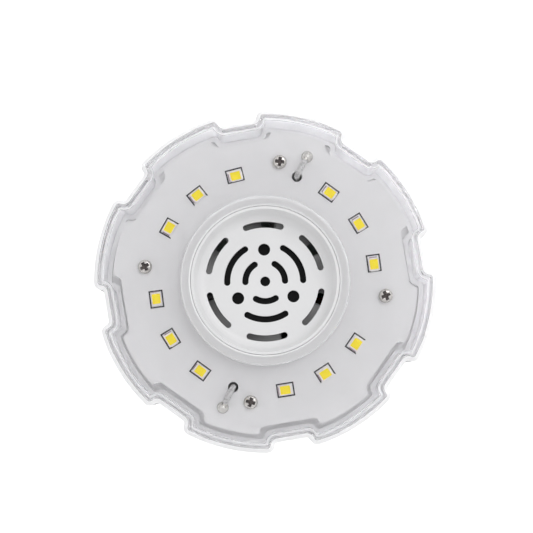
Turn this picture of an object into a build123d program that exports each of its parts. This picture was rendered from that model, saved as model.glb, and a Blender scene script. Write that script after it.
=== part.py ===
from build123d import *

import os
from math import atan2, cos, pi, radians, sin, sqrt, tan

# LED retrofit lamp with a mogul screw base, a driver, eight LED strips and a lit end face round a fan grille.
# Millimetres, +Z up along the lamp's axis. The origin is the middle of the end contact's face.
# The grooves between the lobes lie at multiples of the lobe pitch from +X.

# Lobed outline of the lamp
LOBE_COUNT = 8
BODY_RADIUS = 46.25
GROOVE_DEPTH = 2.85
GROOVE_FLOOR_WIDTH = 9.0
LOBE_CORNER = 2.0
GROOVE_CORNER = 1.0
FLOOR_CORNER_SHARE = 0.6

# Heights, from the end contact up
CONTACT_THICKNESS = 2.2
INSULATOR_HEIGHT = 6.3
SHELL_LENGTH = 32.5
NECK_LENGTH = 6.0
FLARE_LENGTH = 43.0
RIM_HEIGHT = 8.0
STRIP_LENGTH = 86.0
LEDGE_THICKNESS = 4.0
PEDESTAL_HEIGHT = 12.0
BOARD_THICKNESS = 1.6
COVER_HEADROOM = 6.0

# Fits
SLIDE_GAP = 0.15
RUNNING_GAP = 0.03
SCREW_GAP = 0.1

# Screw base
THREAD_RADIUS = 19.6
THREAD_DEPTH = 1.75
THREAD_PITCH = 6.35
THREAD_START = 90.0
RIDGE_WIDTH = 5.7
RIDGE_SINK = 0.3
SHELL_WALL = 0.9
SHELL_LIP = 1.0
LIP_WIDTH = 1.5
LEAD_IN = 4.0
COLLAR_HEIGHT = 4.5
COLLAR_STEP = 0.2
CONTACT_RADIUS = 6.5
CONTACT_BEVEL = 1.6
RIVET_RADIUS = 2.4
RIVET_HEAD = 1.2
INSULATOR_TIP_RADIUS = 8.2
INSULATOR_PLUG = 3.0

# Driver housing
HOUSING_WALL = 2.2
NECK_RADIUS = 22.0
FLARE_STEP = 0.4
SPIGOT_FLOOR = 2.0
SPIGOT_HOLE_RADIUS = 5.0
SHELF_THICKNESS = 3.0
TOWER_WALL = 1.0
TOWER_WEB = 6.0
VENT_WIDTH = 2.4
VENT_LENGTH = 15.0
VENTS_PER_SIDE = 5
VENT_PITCH = 9.0
VENT_DROP = 10.0

# Screws that clamp the housing and the end frame to the heat sink's ports
SCREW_COUNT = 4
SCREW_INSET = 13.25
SCREW_ANGLE = 73.6
SCREW_RADIUS = 1.25
SCREW_GRIP = 10.0
HEAD_RADIUS = 2.1
HEAD_HEIGHT = 1.5
HEAD_ROUND = 0.9
RECESS_LENGTH = 2.4
RECESS_WIDTH = 0.55
RECESS_DEPTH = 0.8

# Heat sink and LED strips
STRIP_SEAT_DEPTH = 7.45
SINK_WALL = 2.5
FIN_COUNT = 24
FIN_LENGTH = 10.0
FIN_THICKNESS = 1.2
PORT_RADIUS = 3.0
STRIP_COVER_WALL = 1.5
STRIP_COVER_CORNER = 0.5
FOOT_HEIGHT = 1.2
FOOT_REACH = 0.8
STRIP_BOARD_THICKNESS = 1.6
STRIP_LED_COLUMNS = 2
STRIP_LED_ROWS = 7
STRIP_COLUMN_PITCH = 9.0
STRIP_ROW_PITCH = 12.0

# LED packages
LED_LENGTH = 3.5
LED_WIDTH = 2.8
LED_HEIGHT = 0.8
WINDOW_LENGTH = 2.6
WINDOW_WIDTH = 2.2
WINDOW_DEPTH = 0.3
STRIP_WINDOW_LIFT = 0.1
LED_CHAMFER = 0.5

# End frame, end board and what they carry
BOARD_INSET = 4.75
FRAME_WALL = 2.2
FRAME_TOP = 2.5
LOCATING_RIM_HEIGHT = 1.5
LOCATING_RIM_WIDTH = 1.2
FRAME_LIP = 2.45
POST_WALL = 1.6
LED_INSET = 16.25
LED_PITCH_ANGLE = 22.5
LEDS_PER_GROUP = 3
LED_GROUP_ANGLES = (0.0, 96.2, 180.0, 272.3)
FIRST_LED_TURN = 5.0

# Leads
LEAD_RADIUS = 0.78
LEAD_HOLE_RADIUS = 1.4
LEAD_ANGLE = 63.7
LEAD_RISE = 2.4
LEAD_BEND = 2.0
LEAD_SWEEP = 8.0
SOLDER_REACH = 6.1
SOLDER_RADIUS = 1.6
SOLDER_HEIGHT = 1.5
SOLDER_ROUND = 1.2

# Clear end cover
COVER_WALL = 1.8
COVER_TOP = 2.0
COVER_EDGE = 1.8
COVER_INNER_EDGE = 1.0
MOUTH_EDGE = 0.6
TUBE_WALL = 2.2

# Fan grille
GRILLE_FLOOR = 1.5
GRILLE_LIFT = 0.7
GRILLE_RIM_DROP = 0.5
GRILLE_RIM_WIDTH = 0.7
GRILLE_SKIRT = 1.5
DISH_SLOPE = 1.25
DISH_ROUND = 2.5
SLOT_WIDTH = 1.7
SLOT_PHASE = 22.5
CENTRE_HOLE_RADIUS = 1.35
ROUND_HOLE_RADIUS = 1.65
ROUND_HOLE_CIRCLE = 8.7
INNER_SLOT_CIRCLE = 5.4
MIDDLE_SLOT_CIRCLE = 10.35
OUTER_SLOT_CIRCLE = 15.55
LONG_SLOT_ARC = 60.0
SHORT_SLOT_ARC = 35.5
SLOT_TRIO = 3

# Fan
FAN_SIDE = 40.0
FAN_DEPTH = 10.0
FAN_CORNER = 3.5
FAN_HOLE_PITCH = 32.0
FAN_HOLE_RADIUS = 1.7
FAN_FLANGE = 3.0
FAN_BORE_WALL = 1.0
FAN_SHELL = 1.2
FAN_ARM_WIDTH = 2.6
FAN_PLATE = 1.5
FAN_SCREW_RADIUS = 1.3
FAN_SCREW_BITE = 1.6
HUB_RADIUS = 11.8
HUB_WALL = 1.2
HUB_TOP_GAP = 0.5
HUB_FLOOR_GAP = 0.7
MAGNET_WALL = 1.1
MAGNET_HEIGHT = 5.0
BEARING_RADIUS = 2.5
BEARING_LENGTH = 5.5
BEARING_TUBE_WALL = 0.8
SHAFT_RADIUS = 1.0
STATOR_GAP = 0.4
STATOR_HEIGHT = 4.5
STATOR_POLES = 4
STATOR_SLOT = 2.2
BLADE_COUNT = 7
BLADE_ROOT_CHORD = 9.5
BLADE_TIP_CHORD = 13.0
BLADE_THICKNESS = 0.8
BLADE_CAMBER = 0.9
BLADE_ROOT_PITCH = 38.0
BLADE_TIP_PITCH = 26.0
BLADE_TIP_GAP = 0.4

# Driver
DRIVER_BOARD_THICKNESS = 1.6
DRIVER_BOARD_TOP_GAP = 6.0
BOARD_EDGE_GAP = 1.0
DRIVER_LEAD_HEIGHT = 6.0
CORE_WIDTH = 20.0
CORE_HEIGHT = 16.0
CORE_DEPTH = 10.0
CORE_LEG = 5.5
WINDING_BUILD = 2.2
TRANSFORMER_RISE = 12.0
BULK_CAPACITOR_RADIUS = 5.0
BULK_CAPACITOR_LENGTH = 22.0
OUTPUT_CAPACITOR_RADIUS = 4.0
OUTPUT_CAPACITOR_LENGTH = 13.0
CAPACITOR_EDGE = 0.7
CHOKE_RADIUS = 7.0
CHOKE_HOLE_RADIUS = 3.4
CHOKE_THICKNESS = 5.0
CHOKE_EDGE = 1.0
FILM_CAPACITOR_SIZE = (13.0, 9.0, 6.0)
RECTIFIER_SIZE = (8.0, 6.0, 2.6)
SWITCH_SIZE = (10.0, 15.0, 4.5)
BLOCK_EDGE = 0.3
FUSE_RADIUS = 1.8
FUSE_LENGTH = 9.0

# Levels along the axis
shell_bottom = CONTACT_THICKNESS + INSULATOR_HEIGHT
insulator_top = shell_bottom + SHELL_LIP + INSULATOR_PLUG
rivet_top = insulator_top + RIVET_HEAD
shell_top = shell_bottom + SHELL_LENGTH
neck_top = shell_top + NECK_LENGTH
flare_top = neck_top + FLARE_LENGTH
body_bottom = flare_top + RIM_HEIGHT
body_top = body_bottom + STRIP_LENGTH
cover_seat = body_top + LEDGE_THICKNESS
board_seat = cover_seat + PEDESTAL_HEIGHT
board_top = board_seat + BOARD_THICKNESS
lamp_top = board_top + COVER_HEADROOM
spigot_floor = insulator_top + SPIGOT_FLOOR
fan_top = board_seat - FRAME_TOP
fan_bottom = fan_top - FAN_DEPTH
fan_floor = fan_bottom + FAN_PLATE

# Radii and widths that follow from the sizes above
lobe_pitch = 360 / LOBE_COUNT
wall_angle = radians(lobe_pitch / 2)
groove_floor = BODY_RADIUS - GROOVE_DEPTH
corner_slope = tan(pi / 4 - wall_angle / 2)
lobe_half_width = groove_floor * sin(wall_angle) - GROOVE_FLOOR_WIDTH / 2 * cos(wall_angle)
thread_root = THREAD_RADIUS - THREAD_DEPTH
shell_bore = thread_root - SHELL_WALL
lip_radius = shell_bore - LIP_WIDTH
spigot_radius = shell_bore - SLIDE_GAP
spigot_bore = spigot_radius - HOUSING_WALL
flare_radius = groove_floor - FLARE_STEP
screw_circle = BODY_RADIUS - SCREW_INSET
led_circle = BODY_RADIUS - LED_INSET
solder_circle = led_circle + SOLDER_REACH
frame_opening = groove_floor - BOARD_INSET - FRAME_WALL - FRAME_LIP
pocket_radius = HEAD_RADIUS + TOWER_WALL / 2
tower_radius = pocket_radius + TOWER_WALL
screw_seat = body_bottom - TOWER_WEB
pad_radius = BODY_RADIUS - STRIP_SEAT_DEPTH
sink_bore_radius = pad_radius - SINK_WALL
shelf_radius = sink_bore_radius - FIN_THICKNESS
strip_board_width = 2 * (lobe_half_width - STRIP_COVER_WALL - SLIDE_GAP)
fan_bore_radius = FAN_SIDE / 2 - FAN_BORE_WALL
tube_bore = fan_bore_radius + FAN_SHELL
tube_radius = tube_bore + TUBE_WALL
cap_radius = tube_bore - SLIDE_GAP
duct_radius = cap_radius - GRILLE_SKIRT / 2
dish_foot = cap_radius - GRILLE_RIM_WIDTH - DISH_SLOPE
hub_bore = HUB_RADIUS - HUB_WALL
magnet_bore = hub_bore - RUNNING_GAP - MAGNET_WALL
stator_radius = magnet_bore - STATOR_GAP
bearing_tube_radius = BEARING_RADIUS + RUNNING_GAP + BEARING_TUBE_WALL
hub_top = fan_top - HUB_TOP_GAP
hub_bottom = fan_floor + HUB_FLOOR_GAP
driver_board_top = body_bottom - DRIVER_BOARD_TOP_GAP
tongue_half = spigot_bore - BOARD_EDGE_GAP
neck_half = NECK_RADIUS - HOUSING_WALL - BOARD_EDGE_GAP
lead_offset = DRIVER_BOARD_THICKNESS / 2 + LEAD_RADIUS

os.makedirs("parts", exist_ok=True)


def save(block, name):
    """Labels a finished piece and writes its file."""
    block.part.label = name
    export_step(block.part, f"parts/{name}.step")


def lobed_outline(inset):
    """The lamp's lobed outline, drawn inwards from the clear covers by an inset."""
    lobe = BODY_RADIUS - inset
    floor = groove_floor - inset
    mouth = lobe + GROOVE_DEPTH
    floor_half = GROOVE_FLOOR_WIDTH / 2 + inset * corner_slope
    edge_half = floor_half + GROOVE_DEPTH * tan(wall_angle)
    mouth_half = floor_half + (mouth - floor) * tan(wall_angle)
    wall_length = (sqrt(lobe**2 - edge_half**2) - floor) / cos(wall_angle)
    floor_corner = min(GROOVE_CORNER + inset, FLOOR_CORNER_SHARE * wall_length / corner_slope)
    lobe_corner = min(LOBE_CORNER, wall_length - floor_corner * corner_slope)
    with BuildSketch() as outline:
        Circle(lobe)
        with PolarLocations(0, LOBE_COUNT):
            Polygon(
                (floor, -floor_half),
                (mouth, -mouth_half),
                (mouth, mouth_half),
                (floor, floor_half),
                align=None,
                mode=Mode.SUBTRACT,
            )
        fillet(outline.vertices().group_by(SortBy.DISTANCE)[0], floor_corner)
        fillet(outline.vertices().group_by(SortBy.DISTANCE)[-1], lobe_corner)
    return outline.sketch


def lobe_section(inset, base):
    """Cross-section of one lobe along +X, from a flat base out to its round face."""
    half = lobe_half_width - inset
    reach = BODY_RADIUS + GROOVE_DEPTH
    with BuildSketch() as section:
        with Locations(((base + reach) / 2, 0)):
            Rectangle(reach - base, 2 * half)
        Circle(BODY_RADIUS - inset, mode=Mode.INTERSECT)
        outer = section.vertices().filter_by(lambda v: v.X > pad_radius + FOOT_HEIGHT and abs(v.Y) > half / 2)
        fillet(outer, max(LOBE_CORNER - inset, STRIP_COVER_CORNER))
    return section.sketch


def lobe_plane(number, distance):
    """Plane that faces out of one lobe, at a distance from the axis and half way up the strips."""
    angle = radians(lobe_pitch * (number + 0.5))
    outward = Vector(cos(angle), sin(angle), 0)
    middle = Vector(0, 0, (body_bottom + body_top) / 2)
    return Plane(middle + outward * distance, x_dir=(-sin(angle), cos(angle), 0), z_dir=outward)


def polar(radius, angle, height):
    """Point at a radius, an angle in degrees and a height."""
    return (radius * cos(radians(angle)), radius * sin(radians(angle)), height)


def flare_arcs(inset):
    """Two tangent arcs of the housing's flare, or of its inside at a wall's inset."""
    half_width = (flare_radius - NECK_RADIUS) / 2
    half_height = FLARE_LENGTH / 2
    lean = 2 * atan2(half_width, half_height)
    middle = (
        NECK_RADIUS + half_width - inset * cos(lean),
        neck_top + half_height + inset * sin(lean),
    )
    lower = TangentArc((NECK_RADIUS - inset, neck_top), middle, tangent=(0, 1))
    upper = TangentArc(lower @ 1, (flare_radius - inset, flare_top), tangent=lower % 1)
    return lower, upper


# Lobed outlines shared by the housing, the end frame, the end board and the clear covers
cover_outline = lobed_outline(0)
cover_inside = lobed_outline(COVER_WALL)
locating_outline = lobed_outline(COVER_WALL + SLIDE_GAP)
locating_inside = lobed_outline(COVER_WALL + SLIDE_GAP + LOCATING_RIM_WIDTH)
board_outline = lobed_outline(BOARD_INSET)
pedestal_inside = lobed_outline(BOARD_INSET + FRAME_WALL)
cover_base = pad_radius + SLIDE_GAP
lobe_outside = lobe_section(0, cover_base)
lobe_inside = lobe_section(STRIP_COVER_WALL, cover_base)

# End contact: a bevelled button on a rivet
with BuildPart() as center_contact:
    with BuildSketch(Plane.XZ):
        with BuildLine():
            Polyline(
                (0, 0),
                (CONTACT_RADIUS - CONTACT_BEVEL, 0),
                (CONTACT_RADIUS, CONTACT_THICKNESS / 2),
                (CONTACT_RADIUS, CONTACT_THICKNESS),
                (RIVET_RADIUS, CONTACT_THICKNESS),
                (RIVET_RADIUS, rivet_top),
                (0, rivet_top),
                close=True,
            )
        make_face()
    revolve(axis=Axis.Z)
save(center_contact, "center_contact")

# Insulator: a cone under the shell with a plug that the shell's lip holds
with BuildPart() as base_insulator:
    with BuildSketch(Plane.XZ):
        with BuildLine():
            Polyline(
                (RIVET_RADIUS + RUNNING_GAP, CONTACT_THICKNESS),
                (INSULATOR_TIP_RADIUS, CONTACT_THICKNESS),
                (lip_radius - SLIDE_GAP, shell_bottom),
                (lip_radius - SLIDE_GAP, shell_bottom + SHELL_LIP),
                (shell_bore - SLIDE_GAP, shell_bottom + SHELL_LIP),
                (shell_bore - SLIDE_GAP, insulator_top),
                (RIVET_RADIUS + RUNNING_GAP, insulator_top),
                close=True,
            )
        make_face()
    revolve(axis=Axis.Z)
save(base_insulator, "base_insulator")

# Screw shell: a rounded ridge swept up a right-hand helix round a lipped tube
thread_bottom = shell_bottom - THREAD_PITCH / 2
with BuildPart() as thread_ridge:
    with BuildLine() as helix:
        Helix(
            THREAD_PITCH,
            shell_top - COLLAR_HEIGHT / 2 - thread_bottom,
            thread_root,
            center=(0, 0, thread_bottom),
        )
    with BuildSketch(Plane((thread_root, 0, thread_bottom), x_dir=(1, 0, 0), z_dir=(0, 1, 0))):
        with BuildLine():
            ridge = ThreePointArc(
                (-RIDGE_SINK, -RIDGE_WIDTH / 2), (THREAD_DEPTH, 0), (-RIDGE_SINK, RIDGE_WIDTH / 2)
            )
            Line(ridge @ 1, ridge @ 0)
        make_face()
    sweep(path=helix.line, is_frenet=True)

with BuildPart() as screw_shell:
    with BuildSketch(Plane.XZ):
        with BuildLine():
            Polyline(
                (lip_radius, shell_bottom),
                (thread_root, shell_bottom),
                (thread_root, shell_top),
                (shell_bore, shell_top),
                (shell_bore, shell_bottom + SHELL_LIP),
                (lip_radius, shell_bottom + SHELL_LIP),
                close=True,
            )
        make_face()
    revolve(axis=Axis.Z)
    add(thread_ridge.part.rotate(Axis.Z, THREAD_START))
    with BuildSketch(Plane.XZ):
        with BuildLine():
            Polyline(
                (lip_radius, shell_bottom),
                (shell_bore, shell_bottom),
                (THREAD_RADIUS + COLLAR_STEP, shell_bottom + LEAD_IN),
                (THREAD_RADIUS + COLLAR_STEP, shell_top),
                (lip_radius, shell_top),
                close=True,
            )
        make_face()
    revolve(axis=Axis.Z, mode=Mode.INTERSECT)
    with BuildSketch(Plane.XY.offset(shell_top - COLLAR_HEIGHT)):
        Circle(THREAD_RADIUS + COLLAR_STEP)
        Circle(shell_bore, mode=Mode.SUBTRACT)
    extrude(amount=COLLAR_HEIGHT)
save(screw_shell, "screw_shell")

# Neck of the driver housing: a floored spigot in the shell under a collar that carries the flare
with BuildPart() as housing_neck:
    with BuildSketch(Plane.XZ):
        with BuildLine():
            Polyline(
                (SPIGOT_HOLE_RADIUS, insulator_top),
                (spigot_radius, insulator_top),
                (spigot_radius, shell_top),
                (NECK_RADIUS, shell_top),
                (NECK_RADIUS, neck_top),
                (NECK_RADIUS - HOUSING_WALL, neck_top),
                (NECK_RADIUS - HOUSING_WALL, shell_top + HOUSING_WALL),
                (spigot_bore, shell_top + HOUSING_WALL),
                (spigot_bore, spigot_floor),
                (SPIGOT_HOLE_RADIUS, spigot_floor),
                close=True,
            )
        make_face()
    revolve(axis=Axis.Z)
    with BuildSketch(Plane.YZ):
        with Locations((-lead_offset, spigot_floor + DRIVER_LEAD_HEIGHT)):
            Circle(LEAD_RADIUS + SLIDE_GAP)
    extrude(amount=shell_bore, mode=Mode.SUBTRACT)
save(housing_neck, "housing_neck")

# Inside of the driver housing, with the screw towers left standing
with BuildPart() as housing_cavity:
    with BuildSketch(Plane.XZ):
        with BuildLine():
            lower, upper = flare_arcs(HOUSING_WALL)
            Polyline(
                upper @ 1,
                (flare_radius - HOUSING_WALL, body_bottom - SHELF_THICKNESS),
                (shelf_radius, body_bottom - SHELF_THICKNESS),
                (shelf_radius, body_bottom),
                (0, body_bottom),
                (0, neck_top),
                lower @ 0,
            )
        make_face()
    revolve(axis=Axis.Z)
    with BuildSketch(Plane.XY.offset(neck_top)):
        with PolarLocations(screw_circle, SCREW_COUNT, SCREW_ANGLE):
            Circle(tower_radius)
    extrude(amount=body_bottom - neck_top, mode=Mode.SUBTRACT)

# One vent slot through the flare, along +X
with BuildPart() as vent_slot:
    with BuildSketch(Plane.YZ.offset(NECK_RADIUS)):
        with Locations((0, flare_top - VENT_DROP)):
            SlotOverall(VENT_LENGTH, VENT_WIDTH, rotation=90)
    extrude(amount=BODY_RADIUS - NECK_RADIUS)

# Driver housing: a flare with vents and a lobed rim
with BuildPart() as driver_housing:
    with BuildSketch(Plane.XZ):
        with BuildLine():
            lower, upper = flare_arcs(0)
            Polyline(
                upper @ 1,
                (0, flare_top),
                (0, neck_top),
                lower @ 0,
            )
        make_face()
    revolve(axis=Axis.Z)
    with BuildSketch(Plane.XY.offset(flare_top)):
        add(cover_outline)
    extrude(amount=RIM_HEIGHT)
    add(housing_cavity.part, mode=Mode.SUBTRACT)
    vent_start = SCREW_ANGLE + 180 / SCREW_COUNT - VENT_PITCH * (VENTS_PER_SIDE - 1) / 2
    for side in range(SCREW_COUNT):
        start = vent_start + side * 360 / SCREW_COUNT
        with PolarLocations(0, VENTS_PER_SIDE, start, VENT_PITCH * VENTS_PER_SIDE):
            add(vent_slot.part, mode=Mode.SUBTRACT)
    with BuildSketch(Plane.XY.offset(neck_top)):
        with PolarLocations(screw_circle, SCREW_COUNT, SCREW_ANGLE):
            Circle(pocket_radius)
    extrude(amount=screw_seat - neck_top, mode=Mode.SUBTRACT)
    with BuildSketch(Plane.XY.offset(screw_seat)):
        with PolarLocations(screw_circle, SCREW_COUNT, SCREW_ANGLE):
            Circle(SCREW_RADIUS + SCREW_GAP)
    extrude(amount=TOWER_WEB, mode=Mode.SUBTRACT)
save(driver_housing, "driver_housing")

# Screws that go up through the housing's towers into the heat sink
with BuildPart() as housing_screws:
    with BuildSketch(Plane.XY.offset(screw_seat)):
        with PolarLocations(screw_circle, SCREW_COUNT, SCREW_ANGLE):
            Circle(HEAD_RADIUS)
    extrude(amount=-HEAD_HEIGHT)
    fillet(housing_screws.edges().group_by(Axis.Z)[0], HEAD_ROUND)
    with BuildSketch(Plane.XY.offset(screw_seat)):
        with PolarLocations(screw_circle, SCREW_COUNT, SCREW_ANGLE):
            Circle(SCREW_RADIUS)
    extrude(amount=TOWER_WEB + SCREW_GRIP)
save(housing_screws, "housing_screws")

# Driver board, standing on the spigot's floor in the lamp's XZ plane
driver_front = Plane((0, DRIVER_BOARD_THICKNESS / 2, 0), x_dir=(-1, 0, 0), z_dir=(0, 1, 0))
driver_back = Plane((0, -DRIVER_BOARD_THICKNESS / 2, 0), x_dir=(1, 0, 0), z_dir=(0, -1, 0))
flare_middle = neck_top + FLARE_LENGTH / 2
top_half = (NECK_RADIUS + flare_radius) / 2 - HOUSING_WALL - 2 * BOARD_EDGE_GAP
with BuildPart() as driver_board:
    with BuildSketch(driver_back):
        with BuildLine():
            right = Polyline(
                (0, spigot_floor),
                (tongue_half, spigot_floor),
                (tongue_half, shell_top + HOUSING_WALL + BOARD_EDGE_GAP),
                (neck_half, shell_top + HOUSING_WALL + BOARD_EDGE_GAP),
                (neck_half, (neck_top + flare_middle) / 2),
                (top_half, flare_middle + HOUSING_WALL),
                (top_half, driver_board_top),
                (0, driver_board_top),
            )
            mirror(right, about=Plane.YZ)
        make_face()
    extrude(amount=-DRIVER_BOARD_THICKNESS)
save(driver_board, "driver_board")

# Transformer: a ferrite core with two windows and a winding round its middle leg
transformer_level = neck_top + TRANSFORMER_RISE
window_width = (CORE_WIDTH - CORE_LEG) / 2 - CORE_LEG / 2
window_height = CORE_HEIGHT - CORE_LEG
with BuildPart() as transformer_core:
    with BuildSketch(driver_front.offset(WINDING_BUILD)):
        with Locations((0, transformer_level)):
            Rectangle(CORE_WIDTH, CORE_HEIGHT)
            with GridLocations(CORE_LEG + window_width, 0, 2, 1):
                Rectangle(window_width, window_height, mode=Mode.SUBTRACT)
    extrude(amount=CORE_DEPTH)
save(transformer_core, "transformer_core")

with BuildPart() as transformer_winding:
    winding_depth = CORE_DEPTH + 2 * WINDING_BUILD
    winding_middle = DRIVER_BOARD_THICKNESS / 2 + winding_depth / 2
    with BuildSketch(Plane.XY.offset(transformer_level - window_height / 2 + SLIDE_GAP)):
        with Locations((0, winding_middle)):
            RectangleRounded(
                CORE_LEG + 2 * (window_width - SLIDE_GAP), winding_depth, WINDING_BUILD / 2
            )
            Rectangle(CORE_LEG + 2 * SLIDE_GAP, CORE_DEPTH + 2 * SLIDE_GAP, mode=Mode.SUBTRACT)
    extrude(amount=window_height - 2 * SLIDE_GAP)
save(transformer_winding, "transformer_winding")

# Round components lie along the driver board and touch its face
with BuildPart() as bulk_capacitor:
    bulk_level = shell_top - BULK_CAPACITOR_LENGTH - BOARD_EDGE_GAP
    with BuildSketch(Plane.XY.offset(bulk_level)):
        with Locations((0, DRIVER_BOARD_THICKNESS / 2 + BULK_CAPACITOR_RADIUS)):
            Circle(BULK_CAPACITOR_RADIUS)
    extrude(amount=BULK_CAPACITOR_LENGTH)
    fillet(bulk_capacitor.edges(), CAPACITOR_EDGE)
save(bulk_capacitor, "bulk_capacitor")

with BuildPart() as output_capacitor:
    output_level = driver_board_top - OUTPUT_CAPACITOR_LENGTH - 2 * BOARD_EDGE_GAP
    with BuildSketch(Plane.XY.offset(output_level)):
        with Locations((top_half / 2, DRIVER_BOARD_THICKNESS / 2 + OUTPUT_CAPACITOR_RADIUS)):
            Circle(OUTPUT_CAPACITOR_RADIUS)
    extrude(amount=OUTPUT_CAPACITOR_LENGTH)
    fillet(output_capacitor.edges(), CAPACITOR_EDGE)
save(output_capacitor, "output_capacitor")

with BuildPart() as line_choke:
    with BuildSketch(driver_back):
        with Locations((0, neck_top + CHOKE_RADIUS)):
            Circle(CHOKE_RADIUS)
            Circle(CHOKE_HOLE_RADIUS, mode=Mode.SUBTRACT)
    extrude(amount=CHOKE_THICKNESS)
    fillet(line_choke.edges().filter_by(GeomType.CIRCLE), CHOKE_EDGE)
save(line_choke, "line_choke")

with BuildPart() as fuse:
    fuse_level = shell_top - FUSE_LENGTH - BOARD_EDGE_GAP
    with BuildSketch(Plane.XY.offset(fuse_level)):
        with Locations((tongue_half / 2, -DRIVER_BOARD_THICKNESS / 2 - FUSE_RADIUS)):
            Circle(FUSE_RADIUS)
    extrude(amount=FUSE_LENGTH)
save(fuse, "fuse")


def board_block(plane, across, level, size):
    """Rectangular component on one face of the driver board."""
    with BuildPart() as block:
        with BuildSketch(plane):
            with Locations((across, level)):
                Rectangle(size[0], size[1])
        extrude(amount=size[2])
        fillet(block.edges().filter_by(Axis.Y), BLOCK_EDGE)
    return block


film_level = driver_board_top - FILM_CAPACITOR_SIZE[1]
switch_level = driver_board_top - SWITCH_SIZE[1]
rectifier_level = shell_top - RECTIFIER_SIZE[1]
film_capacitor = board_block(driver_back, top_half / 2, film_level, FILM_CAPACITOR_SIZE)
save(film_capacitor, "film_capacitor")
power_switch = board_block(driver_back, -top_half / 2, switch_level, SWITCH_SIZE)
save(power_switch, "power_switch")
bridge_rectifier = board_block(driver_back, -tongue_half / 2, rectifier_level, RECTIFIER_SIZE)
save(bridge_rectifier, "bridge_rectifier")

# Leads from the end contact's rivet and from the shell to the driver board
with BuildPart() as contact_lead:
    with BuildSketch(Plane.XY.offset(rivet_top)):
        with Locations((0, -lead_offset)):
            Circle(LEAD_RADIUS)
    extrude(amount=spigot_floor + DRIVER_LEAD_HEIGHT - rivet_top - 2 * LEAD_RADIUS)
save(contact_lead, "contact_lead")

with BuildPart() as shell_lead:
    shell_end = sqrt(shell_bore**2 - (lead_offset + LEAD_RADIUS) ** 2)
    with BuildSketch(Plane.YZ.offset(tongue_half / 2)):
        with Locations((-lead_offset, spigot_floor + DRIVER_LEAD_HEIGHT)):
            Circle(LEAD_RADIUS)
    extrude(amount=shell_end - tongue_half / 2)
save(shell_lead, "shell_lead")

# Heat sink: an extruded octagon tube with pads for the strips, ribs between the covers, fins and screw ports
fin_middle = (sink_bore_radius - FIN_LENGTH + BODY_RADIUS) / 2
fin_reach = BODY_RADIUS - sink_bore_radius + FIN_LENGTH
with BuildSketch() as sink_bore:
    RegularPolygon(sink_bore_radius, LOBE_COUNT, major_radius=False)
    with PolarLocations(fin_middle, FIN_COUNT, SCREW_ANGLE):
        Rectangle(fin_reach, FIN_THICKNESS, mode=Mode.SUBTRACT)
    with PolarLocations(screw_circle, SCREW_COUNT, SCREW_ANGLE):
        Circle(PORT_RADIUS, mode=Mode.SUBTRACT)

with BuildPart() as heatsink:
    rib_half = GROOVE_FLOOR_WIDTH / 2 - SLIDE_GAP
    rib_depth = groove_floor - pad_radius + SINK_WALL / 2
    rib_root_half = rib_half - rib_depth * tan(wall_angle)
    groove_middle = pad_radius + (FOOT_HEIGHT + 2 * SLIDE_GAP) / 2
    groove_across = 2 * lobe_half_width + FOOT_REACH + SLIDE_GAP
    with BuildSketch(Plane.XY.offset(body_bottom)):
        RegularPolygon(pad_radius, LOBE_COUNT, major_radius=False)
        with PolarLocations(0, LOBE_COUNT):
            Polygon(
                (groove_floor - rib_depth, -rib_root_half),
                (groove_floor, -rib_half),
                (groove_floor, rib_half),
                (groove_floor - rib_depth, rib_root_half),
                align=None,
            )
        with PolarLocations(groove_middle, LOBE_COUNT, lobe_pitch / 2):
            with GridLocations(0, groove_across, 1, 2):
                Rectangle(FOOT_HEIGHT + 2 * SLIDE_GAP, FOOT_REACH + SLIDE_GAP, mode=Mode.SUBTRACT)
        add(sink_bore.sketch, mode=Mode.SUBTRACT)
        with PolarLocations(screw_circle, SCREW_COUNT, SCREW_ANGLE):
            Circle(SCREW_RADIUS + RUNNING_GAP, mode=Mode.SUBTRACT)
    extrude(amount=STRIP_LENGTH)
save(heatsink, "heatsink")

# LED strips on the heat sink's pads, and the clear covers that slide into its ribs
strip_face = pad_radius + STRIP_BOARD_THICKNESS
strip_phosphor_solids = []
for number in range(LOBE_COUNT):
    with BuildPart() as led_strip:
        with BuildSketch(lobe_plane(number, pad_radius)):
            Rectangle(strip_board_width, STRIP_LENGTH)
        extrude(amount=STRIP_BOARD_THICKNESS)
    save(led_strip, f"led_strip_{number + 1}")

    with BuildPart() as strip_leds:
        with BuildSketch(lobe_plane(number, strip_face)):
            with GridLocations(STRIP_COLUMN_PITCH, STRIP_ROW_PITCH, STRIP_LED_COLUMNS, STRIP_LED_ROWS):
                Rectangle(LED_WIDTH, LED_LENGTH)
        extrude(amount=LED_HEIGHT)
    save(strip_leds, f"strip_leds_{number + 1}")

    with BuildPart() as strip_windows:
        with BuildSketch(lobe_plane(number, strip_face + LED_HEIGHT)):
            with GridLocations(STRIP_COLUMN_PITCH, STRIP_ROW_PITCH, STRIP_LED_COLUMNS, STRIP_LED_ROWS):
                Rectangle(WINDOW_WIDTH, WINDOW_LENGTH)
        extrude(amount=STRIP_WINDOW_LIFT)
    strip_phosphor_solids.extend(strip_windows.solids())

    with BuildPart() as strip_cover:
        with BuildSketch(Plane.XY.offset(body_bottom).rotated((0, 0, lobe_pitch * (number + 0.5)))):
            add(lobe_outside)
            with Locations((cover_base + FOOT_HEIGHT / 2, 0)):
                Rectangle(FOOT_HEIGHT, 2 * (lobe_half_width + FOOT_REACH))
            add(lobe_inside, mode=Mode.SUBTRACT)
        extrude(amount=STRIP_LENGTH)
    save(strip_cover, f"strip_cover_{number + 1}")

with BuildPart() as strip_phosphor:
    add(strip_phosphor_solids)
save(strip_phosphor, "strip_phosphor")

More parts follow.
